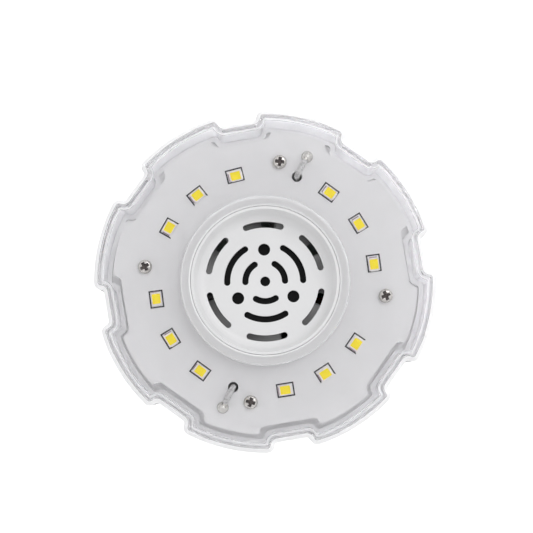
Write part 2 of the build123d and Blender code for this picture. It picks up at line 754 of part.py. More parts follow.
# End frame: a lobed ledge, a hollow pedestal under the end board and posts for the long screws
with BuildPart() as end_frame:
    with BuildSketch(Plane.XY.offset(body_top)):
        add(cover_outline)
    extrude(amount=LEDGE_THICKNESS)
    with BuildSketch(Plane.XY.offset(cover_seat)):
        add(locating_outline)
        add(locating_inside, mode=Mode.SUBTRACT)
    extrude(amount=LOCATING_RIM_HEIGHT)
    with BuildSketch(Plane.XY.offset(cover_seat)):
        add(board_outline)
    extrude(amount=PEDESTAL_HEIGHT)
    with BuildSketch(Plane.XY.offset(cover_seat)):
        add(pedestal_inside)
    extrude(amount=fan_top - cover_seat, mode=Mode.SUBTRACT)
    with BuildSketch(Plane.XY.offset(body_top)):
        Circle(frame_opening)
    extrude(amount=LEDGE_THICKNESS, mode=Mode.SUBTRACT)
    with BuildSketch(Plane.XY.offset(body_top)):
        with PolarLocations(screw_circle, SCREW_COUNT, SCREW_ANGLE):
            Circle(SCREW_RADIUS + SCREW_GAP + POST_WALL)
    extrude(amount=fan_top - body_top)
    with BuildSketch(Plane.XY.offset(body_top)):
        with PolarLocations(screw_circle, SCREW_COUNT, SCREW_ANGLE):
            Circle(SCREW_RADIUS + SCREW_GAP)
    extrude(amount=board_seat - body_top, mode=Mode.SUBTRACT)
    with BuildSketch(Plane.XY.offset(fan_top)):
        Circle(duct_radius)
        with PolarLocations(led_circle, 2, LEAD_ANGLE):
            Circle(LEAD_HOLE_RADIUS)
    extrude(amount=FRAME_TOP, mode=Mode.SUBTRACT)
    with BuildSketch(Plane.XY.offset(fan_top)):
        with GridLocations(FAN_HOLE_PITCH, FAN_HOLE_PITCH, 2, 2):
            Circle(FAN_SCREW_RADIUS + RUNNING_GAP)
    extrude(amount=FAN_SCREW_BITE + SCREW_GAP, mode=Mode.SUBTRACT)
save(end_frame, "end_frame")

# End board with its LED packages
with BuildPart() as end_board:
    with BuildSketch(Plane.XY.offset(board_seat)):
        add(board_outline)
        Circle(tube_radius + SLIDE_GAP, mode=Mode.SUBTRACT)
        with PolarLocations(screw_circle, SCREW_COUNT, SCREW_ANGLE):
            Circle(SCREW_RADIUS + SCREW_GAP, mode=Mode.SUBTRACT)
        with PolarLocations(led_circle, 2, LEAD_ANGLE):
            Circle(LEAD_HOLE_RADIUS, mode=Mode.SUBTRACT)
    extrude(amount=BOARD_THICKNESS)
save(end_board, "end_board")

led_places = []
for start in LED_GROUP_ANGLES:
    for step in range(LEDS_PER_GROUP):
        angle = start + step * LED_PITCH_ANGLE
        turn = FIRST_LED_TURN if step == 0 else 0
        led_places.append(Location(polar(led_circle, angle, 0), (0, 0, angle + 90 + turn)))

with BuildPart() as end_leds:
    with BuildSketch(Plane.XY.offset(board_top)):
        with Locations(*led_places):
            Rectangle(LED_LENGTH, LED_WIDTH)
            with Locations((LED_LENGTH / 2, LED_WIDTH / 2)):
                Rectangle(LED_CHAMFER * sqrt(2), LED_CHAMFER * sqrt(2), rotation=45, mode=Mode.SUBTRACT)
    extrude(amount=LED_HEIGHT)
    with BuildSketch(Plane.XY.offset(board_top + LED_HEIGHT)):
        with Locations(*led_places):
            RectangleRounded(WINDOW_LENGTH, WINDOW_WIDTH, WINDOW_DEPTH)
    extrude(amount=-WINDOW_DEPTH, mode=Mode.SUBTRACT)
save(end_leds, "end_leds")

with BuildPart() as end_phosphor:
    with BuildSketch(Plane.XY.offset(board_top + LED_HEIGHT - WINDOW_DEPTH)):
        with Locations(*led_places):
            RectangleRounded(WINDOW_LENGTH, WINDOW_WIDTH, WINDOW_DEPTH)
    extrude(amount=WINDOW_DEPTH)
save(end_phosphor, "end_phosphor")

# Long pan screws that clamp the end board and the end frame to the heat sink
with BuildPart() as board_screws:
    with BuildSketch(Plane.XY.offset(board_top)):
        with PolarLocations(screw_circle, SCREW_COUNT, SCREW_ANGLE):
            Circle(HEAD_RADIUS)
    extrude(amount=HEAD_HEIGHT)
    fillet(board_screws.edges().group_by(Axis.Z)[-1], HEAD_ROUND)
    with BuildSketch(Plane.XY.offset(board_top + HEAD_HEIGHT)):
        with PolarLocations(screw_circle, SCREW_COUNT, SCREW_ANGLE):
            Rectangle(RECESS_LENGTH, RECESS_WIDTH)
            Rectangle(RECESS_WIDTH, RECESS_LENGTH)
    extrude(amount=-RECESS_DEPTH, mode=Mode.SUBTRACT)
    with BuildSketch(Plane.XY.offset(board_top)):
        with PolarLocations(screw_circle, SCREW_COUNT, SCREW_ANGLE):
            Circle(SCREW_RADIUS)
    extrude(amount=body_top - SCREW_GRIP - board_top)
save(board_screws, "board_screws")

# Leads from the driver board up between the fins, through the end board and over to their solder joints
lead_start = lead_offset / sin(radians(LEAD_ANGLE))
lead_level = driver_board_top - DRIVER_LEAD_HEIGHT
with BuildPart() as end_leads:
    for side in range(2):
        angle = LEAD_ANGLE + 180 * side
        with BuildLine() as route:
            FilletPolyline(
                polar(lead_start, angle, lead_level),
                polar(lead_start, angle, body_bottom),
                polar(led_circle, angle, body_bottom + led_circle),
                polar(led_circle, angle, board_top + LEAD_RISE),
                polar(solder_circle, angle, board_top + LEAD_RADIUS + SLIDE_GAP),
                radius=(LEAD_SWEEP, LEAD_SWEEP, LEAD_BEND),
            )
        with BuildSketch(Plane(route.line @ 0, z_dir=route.line % 0)):
            Circle(LEAD_RADIUS)
        sweep(path=route.line)
save(end_leads, "end_leads")

with BuildPart() as solder_joints:
    with BuildSketch(Plane.XY.offset(board_top)):
        with PolarLocations(solder_circle, 2, LEAD_ANGLE):
            Circle(SOLDER_RADIUS)
    extrude(amount=SOLDER_HEIGHT)
    fillet(solder_joints.edges().group_by(Axis.Z)[-1], SOLDER_ROUND)
    add(end_leads.part, mode=Mode.SUBTRACT)
save(solder_joints, "solder_joints")

# Hollow of the clear end cover, rounded at its top edge
with BuildPart() as cover_hollow:
    with BuildSketch(Plane.XY.offset(cover_seat)):
        add(cover_inside)
    extrude(amount=lamp_top - COVER_TOP - cover_seat)
    fillet(cover_hollow.edges().group_by(Axis.Z)[-1], COVER_INNER_EDGE)
    with BuildSketch(Plane.XY.offset(cover_seat)):
        Circle(tube_radius)
    extrude(amount=lamp_top - cover_seat, mode=Mode.SUBTRACT)

# Clear end cover: a lobed cap with a tube round the grille
with BuildPart() as end_cover:
    with BuildSketch(Plane.XY.offset(cover_seat)):
        add(cover_outline)
    extrude(amount=lamp_top - cover_seat)
    fillet(end_cover.edges().group_by(Axis.Z)[-1], COVER_EDGE)
    add(cover_hollow.part, mode=Mode.SUBTRACT)
    with BuildSketch(Plane.XY.offset(cover_seat)):
        Circle(tube_radius)
    extrude(amount=PEDESTAL_HEIGHT, mode=Mode.SUBTRACT)
    with BuildSketch(Plane.XY.offset(board_seat)):
        Circle(tube_bore)
    extrude(amount=lamp_top - board_seat, mode=Mode.SUBTRACT)
    mouth_edge = end_cover.edges().group_by(Axis.Z)[-1].sort_by(SortBy.LENGTH)[-1]
    fillet(mouth_edge, MOUTH_EDGE)
save(end_cover, "end_cover")

# Fan grille: a dished cap in the cover's tube, with rings of arc slots
grille_top = board_seat + GRILLE_LIFT + GRILLE_FLOOR
grille_rim = lamp_top - GRILLE_RIM_DROP
with BuildPart() as fan_grille:
    with BuildSketch(Plane.XZ) as dish:
        with BuildLine():
            Polyline(
                (0, grille_top),
                (dish_foot, grille_top),
                (cap_radius - GRILLE_RIM_WIDTH, grille_rim),
                (cap_radius, grille_rim),
                (cap_radius, board_seat),
                (cap_radius - GRILLE_SKIRT, board_seat),
                (cap_radius - GRILLE_SKIRT, board_seat + GRILLE_LIFT),
                (0, board_seat + GRILLE_LIFT),
                close=True,
            )
        make_face()
        foot = dish.vertices().filter_by(lambda v: abs(v.X - dish_foot) < RUNNING_GAP)
        fillet(foot, DISH_ROUND)
    revolve(axis=Axis.Z)
    with BuildSketch(Plane.XY.offset(board_seat)):
        Circle(CENTRE_HOLE_RADIUS)
        with PolarLocations(ROUND_HOLE_CIRCLE, SLOT_TRIO, SLOT_PHASE + 180 / SLOT_TRIO):
            Circle(ROUND_HOLE_RADIUS)
        for circle, arc, count in (
            (INNER_SLOT_CIRCLE, LONG_SLOT_ARC, SLOT_TRIO),
            (MIDDLE_SLOT_CIRCLE, LONG_SLOT_ARC, SLOT_TRIO),
            (OUTER_SLOT_CIRCLE, SHORT_SLOT_ARC, 2 * SLOT_TRIO),
        ):
            with BuildLine(mode=Mode.PRIVATE) as middle_line:
                CenterArc((0, 0), circle, -arc / 2, arc)
            with PolarLocations(0, count, SLOT_PHASE):
                SlotArc(middle_line.edge(), SLOT_WIDTH)
    extrude(amount=lamp_top - board_seat, mode=Mode.SUBTRACT)
save(fan_grille, "fan_grille")

# Fan frame: a square housing with a round bore, four arms and a bearing tube
with BuildPart() as fan_frame:
    with BuildSketch(Plane.XY.offset(fan_bottom)):
        RectangleRounded(FAN_SIDE, FAN_SIDE, FAN_CORNER)
        Circle(fan_bore_radius, mode=Mode.SUBTRACT)
        with GridLocations(FAN_HOLE_PITCH, FAN_HOLE_PITCH, 2, 2):
            Circle(FAN_HOLE_RADIUS, mode=Mode.SUBTRACT)
    extrude(amount=FAN_DEPTH)
    with BuildSketch(Plane.XY.offset(fan_bottom + FAN_FLANGE)):
        Rectangle(FAN_SIDE, FAN_SIDE)
        Circle(fan_bore_radius + FAN_SHELL, mode=Mode.SUBTRACT)
    extrude(amount=FAN_DEPTH - 2 * FAN_FLANGE, mode=Mode.SUBTRACT)
    with BuildSketch(Plane.XY.offset(fan_bottom)):
        Circle(HUB_RADIUS)
        Rectangle(2 * fan_bore_radius + FAN_SHELL / 2, FAN_ARM_WIDTH)
        Rectangle(FAN_ARM_WIDTH, 2 * fan_bore_radius + FAN_SHELL / 2)
    extrude(amount=FAN_PLATE)
    with BuildSketch(Plane.XY.offset(fan_floor)):
        Circle(bearing_tube_radius)
        Circle(BEARING_RADIUS + RUNNING_GAP, mode=Mode.SUBTRACT)
    extrude(amount=BEARING_LENGTH)
save(fan_frame, "fan_frame")

with BuildPart() as fan_bearing:
    with BuildSketch(Plane.XY.offset(fan_floor)):
        Circle(BEARING_RADIUS)
        Circle(SHAFT_RADIUS + RUNNING_GAP, mode=Mode.SUBTRACT)
    extrude(amount=BEARING_LENGTH)
save(fan_bearing, "fan_bearing")

with BuildPart() as fan_stator:
    with BuildSketch(Plane.XY.offset(fan_floor)):
        Circle(stator_radius)
        with PolarLocations(stator_radius, STATOR_POLES):
            Rectangle(stator_radius, STATOR_SLOT, mode=Mode.SUBTRACT)
        Circle(bearing_tube_radius + RUNNING_GAP, mode=Mode.SUBTRACT)
    extrude(amount=STATOR_HEIGHT)
save(fan_stator, "fan_stator")

# Fan rotor: impeller, magnet ring and shaft
blade_root = hub_bore + RUNNING_GAP
blade_tip = sqrt((fan_bore_radius - BLADE_TIP_GAP) ** 2 - (BLADE_TIP_CHORD / 2) ** 2)
blade_level = (hub_top + hub_bottom) / 2
with BuildPart() as fan_blade:
    for radius, chord, pitch in (
        (blade_root, BLADE_ROOT_CHORD, radians(BLADE_ROOT_PITCH)),
        (blade_tip, BLADE_TIP_CHORD, radians(BLADE_TIP_PITCH)),
    ):
        along = (0, cos(pitch), sin(pitch))
        with BuildSketch(Plane((radius, 0, blade_level), x_dir=along, z_dir=(1, 0, 0))):
            with BuildLine():
                back = ThreePointArc((-chord / 2, 0), (0, BLADE_CAMBER), (chord / 2, 0))
                front = ThreePointArc(
                    (chord / 2, -BLADE_THICKNESS),
                    (0, BLADE_CAMBER - BLADE_THICKNESS),
                    (-chord / 2, -BLADE_THICKNESS),
                )
                Line(back @ 1, front @ 0)
                Line(front @ 1, back @ 0)
            make_face()
    loft()

with BuildPart() as fan_impeller:
    with BuildSketch(Plane.XY.offset(hub_bottom)):
        Circle(HUB_RADIUS)
    extrude(amount=hub_top - hub_bottom)
    fillet(fan_impeller.edges().group_by(Axis.Z)[-1], HUB_WALL / 2)
    with BuildSketch(Plane.XY.offset(hub_bottom)):
        Circle(hub_bore)
    extrude(amount=hub_top - HUB_WALL - hub_bottom, mode=Mode.SUBTRACT)
    with PolarLocations(0, BLADE_COUNT):
        add(fan_blade.part)
save(fan_impeller, "fan_impeller")

with BuildPart() as rotor_magnet:
    with BuildSketch(Plane.XY.offset(hub_top - HUB_WALL)):
        Circle(hub_bore - RUNNING_GAP)
        Circle(magnet_bore, mode=Mode.SUBTRACT)
    extrude(amount=-MAGNET_HEIGHT)
save(rotor_magnet, "rotor_magnet")

with BuildPart() as fan_shaft:
    with BuildSketch(Plane.XY.offset(hub_top - HUB_WALL)):
        Circle(SHAFT_RADIUS)
    extrude(amount=fan_floor + RUNNING_GAP - hub_top + HUB_WALL)
save(fan_shaft, "fan_shaft")

# Screws that hold the fan up against the end frame
with BuildPart() as fan_screws:
    with BuildSketch(Plane.XY.offset(fan_bottom)):
        with GridLocations(FAN_HOLE_PITCH, FAN_HOLE_PITCH, 2, 2):
            Circle(HEAD_RADIUS)
    extrude(amount=-HEAD_HEIGHT)
    fillet(fan_screws.edges().group_by(Axis.Z)[0], HEAD_ROUND)
    with BuildSketch(Plane.XY.offset(fan_bottom)):
        with GridLocations(FAN_HOLE_PITCH, FAN_HOLE_PITCH, 2, 2):
            Circle(FAN_SCREW_RADIUS)
    extrude(amount=FAN_DEPTH + FAN_SCREW_BITE)
save(fan_screws, "fan_screws")
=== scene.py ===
from math import cos, pi, radians, sin, sqrt

import bmesh
import bpy
from bpy.props import FloatProperty, FloatVectorProperty, PointerProperty
from mathutils import Matrix, Vector


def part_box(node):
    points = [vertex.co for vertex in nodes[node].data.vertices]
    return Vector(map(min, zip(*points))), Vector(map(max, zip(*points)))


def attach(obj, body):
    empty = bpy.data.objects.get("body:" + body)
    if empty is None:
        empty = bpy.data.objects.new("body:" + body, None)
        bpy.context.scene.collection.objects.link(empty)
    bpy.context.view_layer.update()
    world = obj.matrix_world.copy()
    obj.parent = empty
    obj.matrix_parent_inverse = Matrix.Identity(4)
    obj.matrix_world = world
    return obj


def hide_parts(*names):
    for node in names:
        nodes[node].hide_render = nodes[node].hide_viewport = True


bl_info = {
    "name": "Retrofit Lamp Looks",
    "version": (1, 0, 0),
    "blender": (4, 5, 0),
    "location": "3D View > Sidebar > Lamp",
    "description": "Dresses the packed LED retrofit lamp with finishes, small pieces and a white stage",
    "category": "Object",
}

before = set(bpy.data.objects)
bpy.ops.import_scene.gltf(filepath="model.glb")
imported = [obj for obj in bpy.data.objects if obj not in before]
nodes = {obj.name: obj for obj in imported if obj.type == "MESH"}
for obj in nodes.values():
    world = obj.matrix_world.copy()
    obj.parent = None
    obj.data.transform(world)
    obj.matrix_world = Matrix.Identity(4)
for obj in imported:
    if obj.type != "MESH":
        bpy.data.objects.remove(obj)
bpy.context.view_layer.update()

BOARD_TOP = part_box("end_board")[1].z
BODY_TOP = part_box("heatsink")[1].z
SHELL_LOW, SHELL_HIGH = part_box("screw_shell")
STRIPS = range(1, 9)
GROUP_SIZE = 3
QUARTER = pi / 2
MILLIMETRE = 0.001
NEAR = 1e-6

# Where the clear cover changes: slopes are the upward part of a face's direction, the mouth is a pair of radii.
POLISH = 0.03
WALL_SLOPES = (0.85, 0.995)
EDGE_SLOPES = (0.20, 0.95)
LIP_STARTS = (0.04, 0.10)
LIP_ENDS = (0.88, 0.995)
TUBE_MOUTH = (0.0224, 0.0230)

# Radius where the fan's black hub gives way to the painted light on the blades.
HUB_RADIUS = 0.0120
HUB_FADE = 0.0008


class LampBoardSettings(bpy.types.PropertyGroup):
    """Sizes of what stands on the end board."""

    led_circle: FloatProperty(
        name="LED circle", description="Radius of the circle of end LEDs", default=0.030, unit="LENGTH")
    led_pitch: FloatProperty(
        name="LED pitch", description="Angle from one LED of a group to the next", default=radians(22.5),
        subtype="ANGLE")
    group_angles: FloatVectorProperty(
        name="Group angles", description="Angle of the first LED of each group", size=4,
        default=(radians(-0.6), radians(96.2), radians(179.7), radians(270.95)), subtype="EULER")
    first_turn: FloatProperty(
        name="First LED's turn", description="Twist of the first LED of a group", default=radians(-1.5),
        subtype="ANGLE")
    package: FloatVectorProperty(
        name="Package", description="Length, width and height of an LED package", size=3,
        default=(0.0035, 0.0028, 0.0008), subtype="XYZ", unit="LENGTH")
    window: FloatVectorProperty(
        name="Window", description="Length and width of the lit window", size=2,
        default=(0.0028, 0.00235), subtype="XYZ", unit="LENGTH")
    window_depth: FloatProperty(
        name="Window depth", description="Depth of the cup in a package", default=0.0003, unit="LENGTH")
    outline: FloatVectorProperty(
        name="Outline", description="Length and width of the ink outline round an LED", size=2,
        default=(0.0048, 0.0038), subtype="XYZ", unit="LENGTH")
    ink_line: FloatProperty(
        name="Ink line", description="Width of the ink line", default=0.00038, unit="LENGTH")
    ink_height: FloatProperty(
        name="Ink height", description="Thickness of the ink", default=0.00003, unit="LENGTH")


class LampFastenerSettings(bpy.types.PropertyGroup):
    """Sizes of the screws, leads and solder on the end board."""

    screw_circle: FloatProperty(
        name="Screw circle", description="Radius of the circle of board screws", default=0.033, unit="LENGTH")
    screw_angle: FloatProperty(
        name="Screw angle", description="Angle of the first board screw", default=radians(73.6), subtype="ANGLE")
    head_radius: FloatProperty(
        name="Head radius", description="Radius of a screw's pan head", default=0.0019, unit="LENGTH")
    head_height: FloatProperty(
        name="Head height", description="Height of a screw's pan head", default=0.0015, unit="LENGTH")
    shank_radius: FloatProperty(
        name="Shank radius", description="Radius of a screw's shank", default=0.00125, unit="LENGTH")
    grip: FloatProperty(
        name="Grip", description="Length of a screw in the heat sink", default=0.010, unit="LENGTH")
    lead_angle: FloatProperty(
        name="Lead angle", description="Angle of the first lead", default=radians(63.7), subtype="ANGLE")
    lead_swing: FloatProperty(
        name="Lead swing", description="Angle from a lead's hole round to its solder joint", default=radians(-1.75),
        subtype="ANGLE")
    sleeve_radius: FloatProperty(
        name="Sleeve radius", description="Outer radius of a lead's sleeve", default=0.00078, unit="LENGTH")
    wire_radius: FloatProperty(
        name="Wire radius", description="Radius of a lead's tinned wire", default=0.00036, unit="LENGTH")
    solder_circle: FloatProperty(
        name="Solder circle", description="Radius of the solder joints' circle", default=0.0361, unit="LENGTH")
    solder_radius: FloatProperty(
        name="Solder radius", description="Radius of a solder joint", default=0.0016, unit="LENGTH")
    solder_height: FloatProperty(
        name="Solder height", description="Height of a solder joint", default=0.0015, unit="LENGTH")


class LampShellSettings(bpy.types.PropertyGroup):
    """Sizes of the screw shell."""

    crest: FloatProperty(name="Crest radius", description="Thread's outer radius", default=0.0196, unit="LENGTH")
    depth: FloatProperty(name="Thread depth", description="Depth of the thread", default=0.00175, unit="LENGTH")
    pitch: FloatProperty(name="Pitch", description="Thread's rise in one turn", default=0.00635, unit="LENGTH")
    wall: FloatProperty(name="Wall", description="Thickness of the shell's sheet", default=0.0006, unit="LENGTH")
    bore: FloatProperty(name="Bore", description="Radius at the shell's lower lip", default=0.01695, unit="LENGTH")
    lead_in: FloatProperty(name="Lead-in", description="Height of the tapered start", default=0.004, unit="LENGTH")
    collar: FloatProperty(name="Collar", description="Height of the plain collar", default=0.0045, unit="LENGTH")
    collar_step: FloatProperty(
        name="Collar step", description="How far the collar stands proud", default=0.0002, unit="LENGTH")
    lip: FloatProperty(name="Lip", description="Width of the turned-in lip", default=0.0015, unit="LENGTH")


class LampFinishSettings(bpy.types.PropertyGroup):
    """Colours and clearness of the lamp's finishes."""

    board: FloatVectorProperty(
        name="Board", description="White mask of the LED boards", size=3, subtype="COLOR", default=(0.90, 0.90, 0.895))
    coat: FloatVectorProperty(
        name="Coat", description="White coat of the end frame", size=3, subtype="COLOR", default=(0.93, 0.93, 0.93))
    plastic: FloatVectorProperty(
        name="Plastic", description="White moulded plastic", size=3, subtype="COLOR", default=(0.765, 0.765, 0.772))
    clear: FloatVectorProperty(
        name="Clear plastic", description="Tint of the clear covers", size=3, subtype="COLOR",
        default=(0.985, 0.982, 0.996))
    milk: FloatVectorProperty(
        name="Milky plastic", description="Tone of the end cover's milky edges", size=3, subtype="COLOR",
        default=(0.96, 0.96, 0.97))
    bend: FloatProperty(name="Bend", description="Refractive index of the clear end cover", default=1.25)
    satin: FloatProperty(name="Satin", description="Roughness of the clear end cover's walls", default=0.55)
    edge_clear: FloatProperty(name="Clear wall", description="Share of light that the cover's walls pass", default=0.88)
    lip_clear: FloatProperty(
        name="Clear lip", description="Share of light that the cover's rounded outer edge passes", default=0.10)
    mouth_clear: FloatProperty(
        name="Clear mouth", description="Share of light that the tube's mouth passes", default=0.5)
    contact_gap: FloatProperty(
        name="Contact gap", description="Air under the clear cover where it stands on the white frame",
        default=0.00006, unit="LENGTH")
    package: FloatVectorProperty(
        name="Package", description="LED package", size=3, subtype="COLOR", default=(0.97, 0.92, 0.91))
    phosphor: FloatVectorProperty(
        name="Phosphor", description="LED window", size=3, subtype="COLOR", default=(1.0, 0.79, 0.02))
    ink: FloatVectorProperty(
        name="Ink", description="Printed outlines", size=3, subtype="COLOR", default=(0.009, 0.006, 0.010))
    screw: FloatVectorProperty(
        name="Screw", description="Nickel on the screws", size=3, subtype="COLOR", default=(0.58, 0.56, 0.53))
    # The recess tone is painted shade: a dark colour put on the recess faces where shade falls in them.
    recess: FloatVectorProperty(
        name="Recess", description="Dark recess of the screws", size=3, subtype="COLOR", default=(0.075, 0.062, 0.058))
    sleeve: FloatVectorProperty(
        name="Sleeve", description="Sleeve of the leads", size=3, subtype="COLOR", default=(0.82, 0.82, 0.81))
    fan: FloatVectorProperty(
        name="Fan", description="Black fan plastic", size=3, subtype="COLOR", default=(0.007, 0.007, 0.008))
    # The blades' tone is painted light: it stands in for light falling on the black blades through the grille.
    painted_blade_light: FloatVectorProperty(
        name="Blade", description="Rubbed fan blades", size=3, subtype="COLOR", default=(0.75, 0.75, 0.76))


class LampStageSettings(bpy.types.PropertyGroup):
    """Camera, light and floor."""

    heading: FloatProperty(
        name="Heading", description="Direction from the lamp to the camera", default=radians(-98.8), subtype="ANGLE")
    tilt: FloatProperty(
        name="Tilt", description="Camera's lean from straight above", default=radians(4.0), subtype="ANGLE")
    distance: FloatProperty(
        name="Distance", description="Camera's distance from the end board", default=0.40, unit="LENGTH")
    aim_up: FloatProperty(
        name="Aim up", description="How far above the axis the camera aims", default=0.0041, unit="LENGTH")
    aim_right: FloatProperty(
        name="Aim right", description="How far right of the axis the camera aims", default=0.0004, unit="LENGTH")
    view_angle: FloatProperty(
        name="View angle", description="Camera's angle of view", default=radians(20.6), subtype="ANGLE")
    key_power: FloatProperty(name="Key power", description="Power of the large soft light", default=1.2, unit="POWER")
    front_power: FloatProperty(
        name="Front power", description="Power of the small light over the fan grille", default=0.085, unit="POWER")
    fill_level: FloatProperty(name="Fill level", description="Level of the white surroundings overhead", default=0.66)
    side_level: FloatProperty(name="Side level", description="Level of the white surroundings low down", default=1.25)
    floor_glow: FloatProperty(name="Floor glow", description="Level added to the floor where it is seen", default=0.62)
    floor_mirror: FloatProperty(
        name="Floor mirror", description="Share of the floor's glow that a reflection shows", default=0.35)
    floor_drop: FloatProperty(
        name="Floor drop", description="Gap from the end contact to the floor", default=0.002, unit="LENGTH")


def deselect():
    """Leaves edit mode and deselects everything."""
    if bpy.context.object and bpy.context.object.mode != "OBJECT":
        bpy.ops.object.mode_set(mode="OBJECT")
    bpy.ops.object.select_all(action="DESELECT")


def take(piece):
    """Makes a piece the only selected and active object."""
    deselect()
    piece.select_set(True)
    bpy.context.view_layer.objects.active = piece


def named(name, size=(1.0, 1.0, 1.0)):
    """Names the primitive that was just added, with its size applied, and returns it."""
    piece = bpy.context.object
    piece.scale = size
    piece.name = name
    piece.data.name = name
    bpy.ops.object.transform_apply(location=True, rotation=True, scale=True)
    return piece


def edit(piece, kind="FACE"):
    """Opens a piece in edit mode with nothing selected."""
    take(piece)
    bpy.ops.object.mode_set(mode="EDIT")
    bpy.ops.mesh.select_mode(type=kind)
    bpy.ops.mesh.select_all(action="DESELECT")


def pick(piece, kind, test):
    """Selects the faces, edges or vertices that pass a test on their middle and normal."""
    bpy.ops.mesh.select_mode(type=kind)
    bpy.ops.mesh.select_all(action="DESELECT")
    mesh = bmesh.from_edit_mesh(piece.data)
    if kind == "FACE":
        chosen = [f for f in mesh.faces if test(f.calc_center_median(), f.normal)]
    elif kind == "EDGE":
        chosen = [
            e for e in mesh.edges
            if test((e.verts[0].co + e.verts[1].co) / 2, (e.verts[1].co - e.verts[0].co).normalized())
        ]
    else:
        chosen = [v for v in mesh.verts if test(v.co, v.normal)]
    for element in chosen:
        element.select_set(True)
    mesh.select_flush_mode()
    bmesh.update_edit_mesh(piece.data)


def close(piece, angle=35.0):
    """Leaves edit mode and smooths the piece up to an angle."""
    bpy.ops.object.mode_set(mode="OBJECT")
    take(piece)
    bpy.ops.object.shade_smooth_by_angle(angle=radians(angle))


def extrude(move):
    """Extrudes the selected faces along a move, in edit mode."""
    bpy.ops.mesh.extrude_region_move(TRANSFORM_OT_translate={"value": move})


def outward():
    """Merges doubles and turns all faces outwards, in edit mode."""
    bpy.ops.mesh.select_all(action="SELECT")
    bpy.ops.mesh.remove_doubles(threshold=1e-7)
    bpy.ops.mesh.normals_make_consistent(inside=False)


def repeat(piece, places):
    """Copies a modelled piece to each place and joins the copies at the origin."""
    copies = []
    for place in places:
        copy = bpy.data.objects.new(piece.name, piece.data.copy())
        copy.data.transform(place)
        bpy.context.collection.objects.link(copy)
        copies.append(copy)
    name = piece.name
    bpy.data.objects.remove(piece)
    return join(copies, name)


def join(pieces, name):
    """Joins pieces into the first one."""
    deselect()
    for piece in pieces:
        piece.select_set(True)
    bpy.context.view_layer.objects.active = pieces[0]
    if len(pieces) > 1:
        bpy.ops.object.join()
    pieces[0].name = name
    pieces[0].data.name = name
    return pieces[0]


def apply_modifiers(piece):
    """Applies every modifier of a piece in order."""
    take(piece)
    for modifier in list(piece.modifiers):
        bpy.ops.object.modifier_apply(modifier=modifier.name)


def thicken(piece, wall):
    """Gives a sheet its thickness, inwards."""
    sheet = piece.modifiers.new("sheet", "SOLIDIFY")
    sheet.thickness = wall
    sheet.offset = -1.0
    apply_modifiers(piece)


def settle(piece, material, slot, *stands_for):
    """Gives a finished piece its material, unless it has some, and its body, and hides the nodes it stands for; the
    slot is not used.
    """
    if not piece.data.materials:
        piece.data.materials.append(material)
    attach(piece, "lamp")
    if stands_for:
        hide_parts(*stands_for)


def polar(radius, angle, height):
    """Point at a radius, an angle and a height."""
    return Vector((radius * cos(angle), radius * sin(angle), height))


def board_place(radius, angle, turn):
    """Place on the end board at a radius and an angle, turned."""
    return Matrix.Translation(polar(radius, angle, BOARD_TOP)) @ Matrix.Rotation(turn, 4, "Z")


def led_places(board):
    """Place of each end LED, lying along its circle."""
    places = []
    for start in board.group_angles:
        for step in range(GROUP_SIZE):
            angle = start + step * board.led_pitch
            turn = board.first_turn if step == 0 else 0.0
            places.append(board_place(board.led_circle, angle, angle + QUARTER + turn))
    return places


class Nodes:
    """Node tree under construction."""

    def __init__(self, tree):
        self.tree = tree

    def node(self, kind, **settings):
        """Adds a node, with its sockets or settings."""
        made = self.tree.nodes.new(kind)
        for key, value in settings.items():
            if key in made.inputs:
                made.inputs[key].default_value = value
            else:
                setattr(made, key, value)
        return made

    def link(self, source, target):
        """Joins an output to an input."""
        self.tree.links.new(source, target)

    def span(self, value, start, end, low, high):
        """Value that runs from low to high between a start and an end."""
        made = self.node("ShaderNodeMapRange")
        for socket, amount in zip(("From Min", "From Max", "To Min", "To Max"), (start, end, low, high)):
            made.inputs[socket].default_value = amount
        self.link(value, made.inputs["Value"])
        return made.outputs["Result"]

    def pair(self, operation, first, second):
        """Result of an operation on two values, of which the second may be a number."""
        made = self.node("ShaderNodeMath", operation=operation)
        self.link(first, made.inputs[0])
        if isinstance(second, float):
            made.inputs[1].default_value = second
        else:
            self.link(second, made.inputs[1])
        return made.outputs["Value"]

    def seen(self, mirrored=1.0):
        """One for rays from the camera or clear plastic, mirrored for a reflection, nought once scattered."""
        path = self.node("ShaderNodeLightPath")
        glossy = self.pair("MULTIPLY", path.outputs["Is Glossy Ray"], mirrored)
        direct = self.pair("MAXIMUM", path.outputs["Is Camera Ray"], glossy)
        direct = self.pair("MAXIMUM", direct, path.outputs["Is Transmission Ray"])
        straight = self.pair("LESS_THAN", path.outputs["Diffuse Depth"], 0.5)
        return self.pair("MULTIPLY", direct, straight)


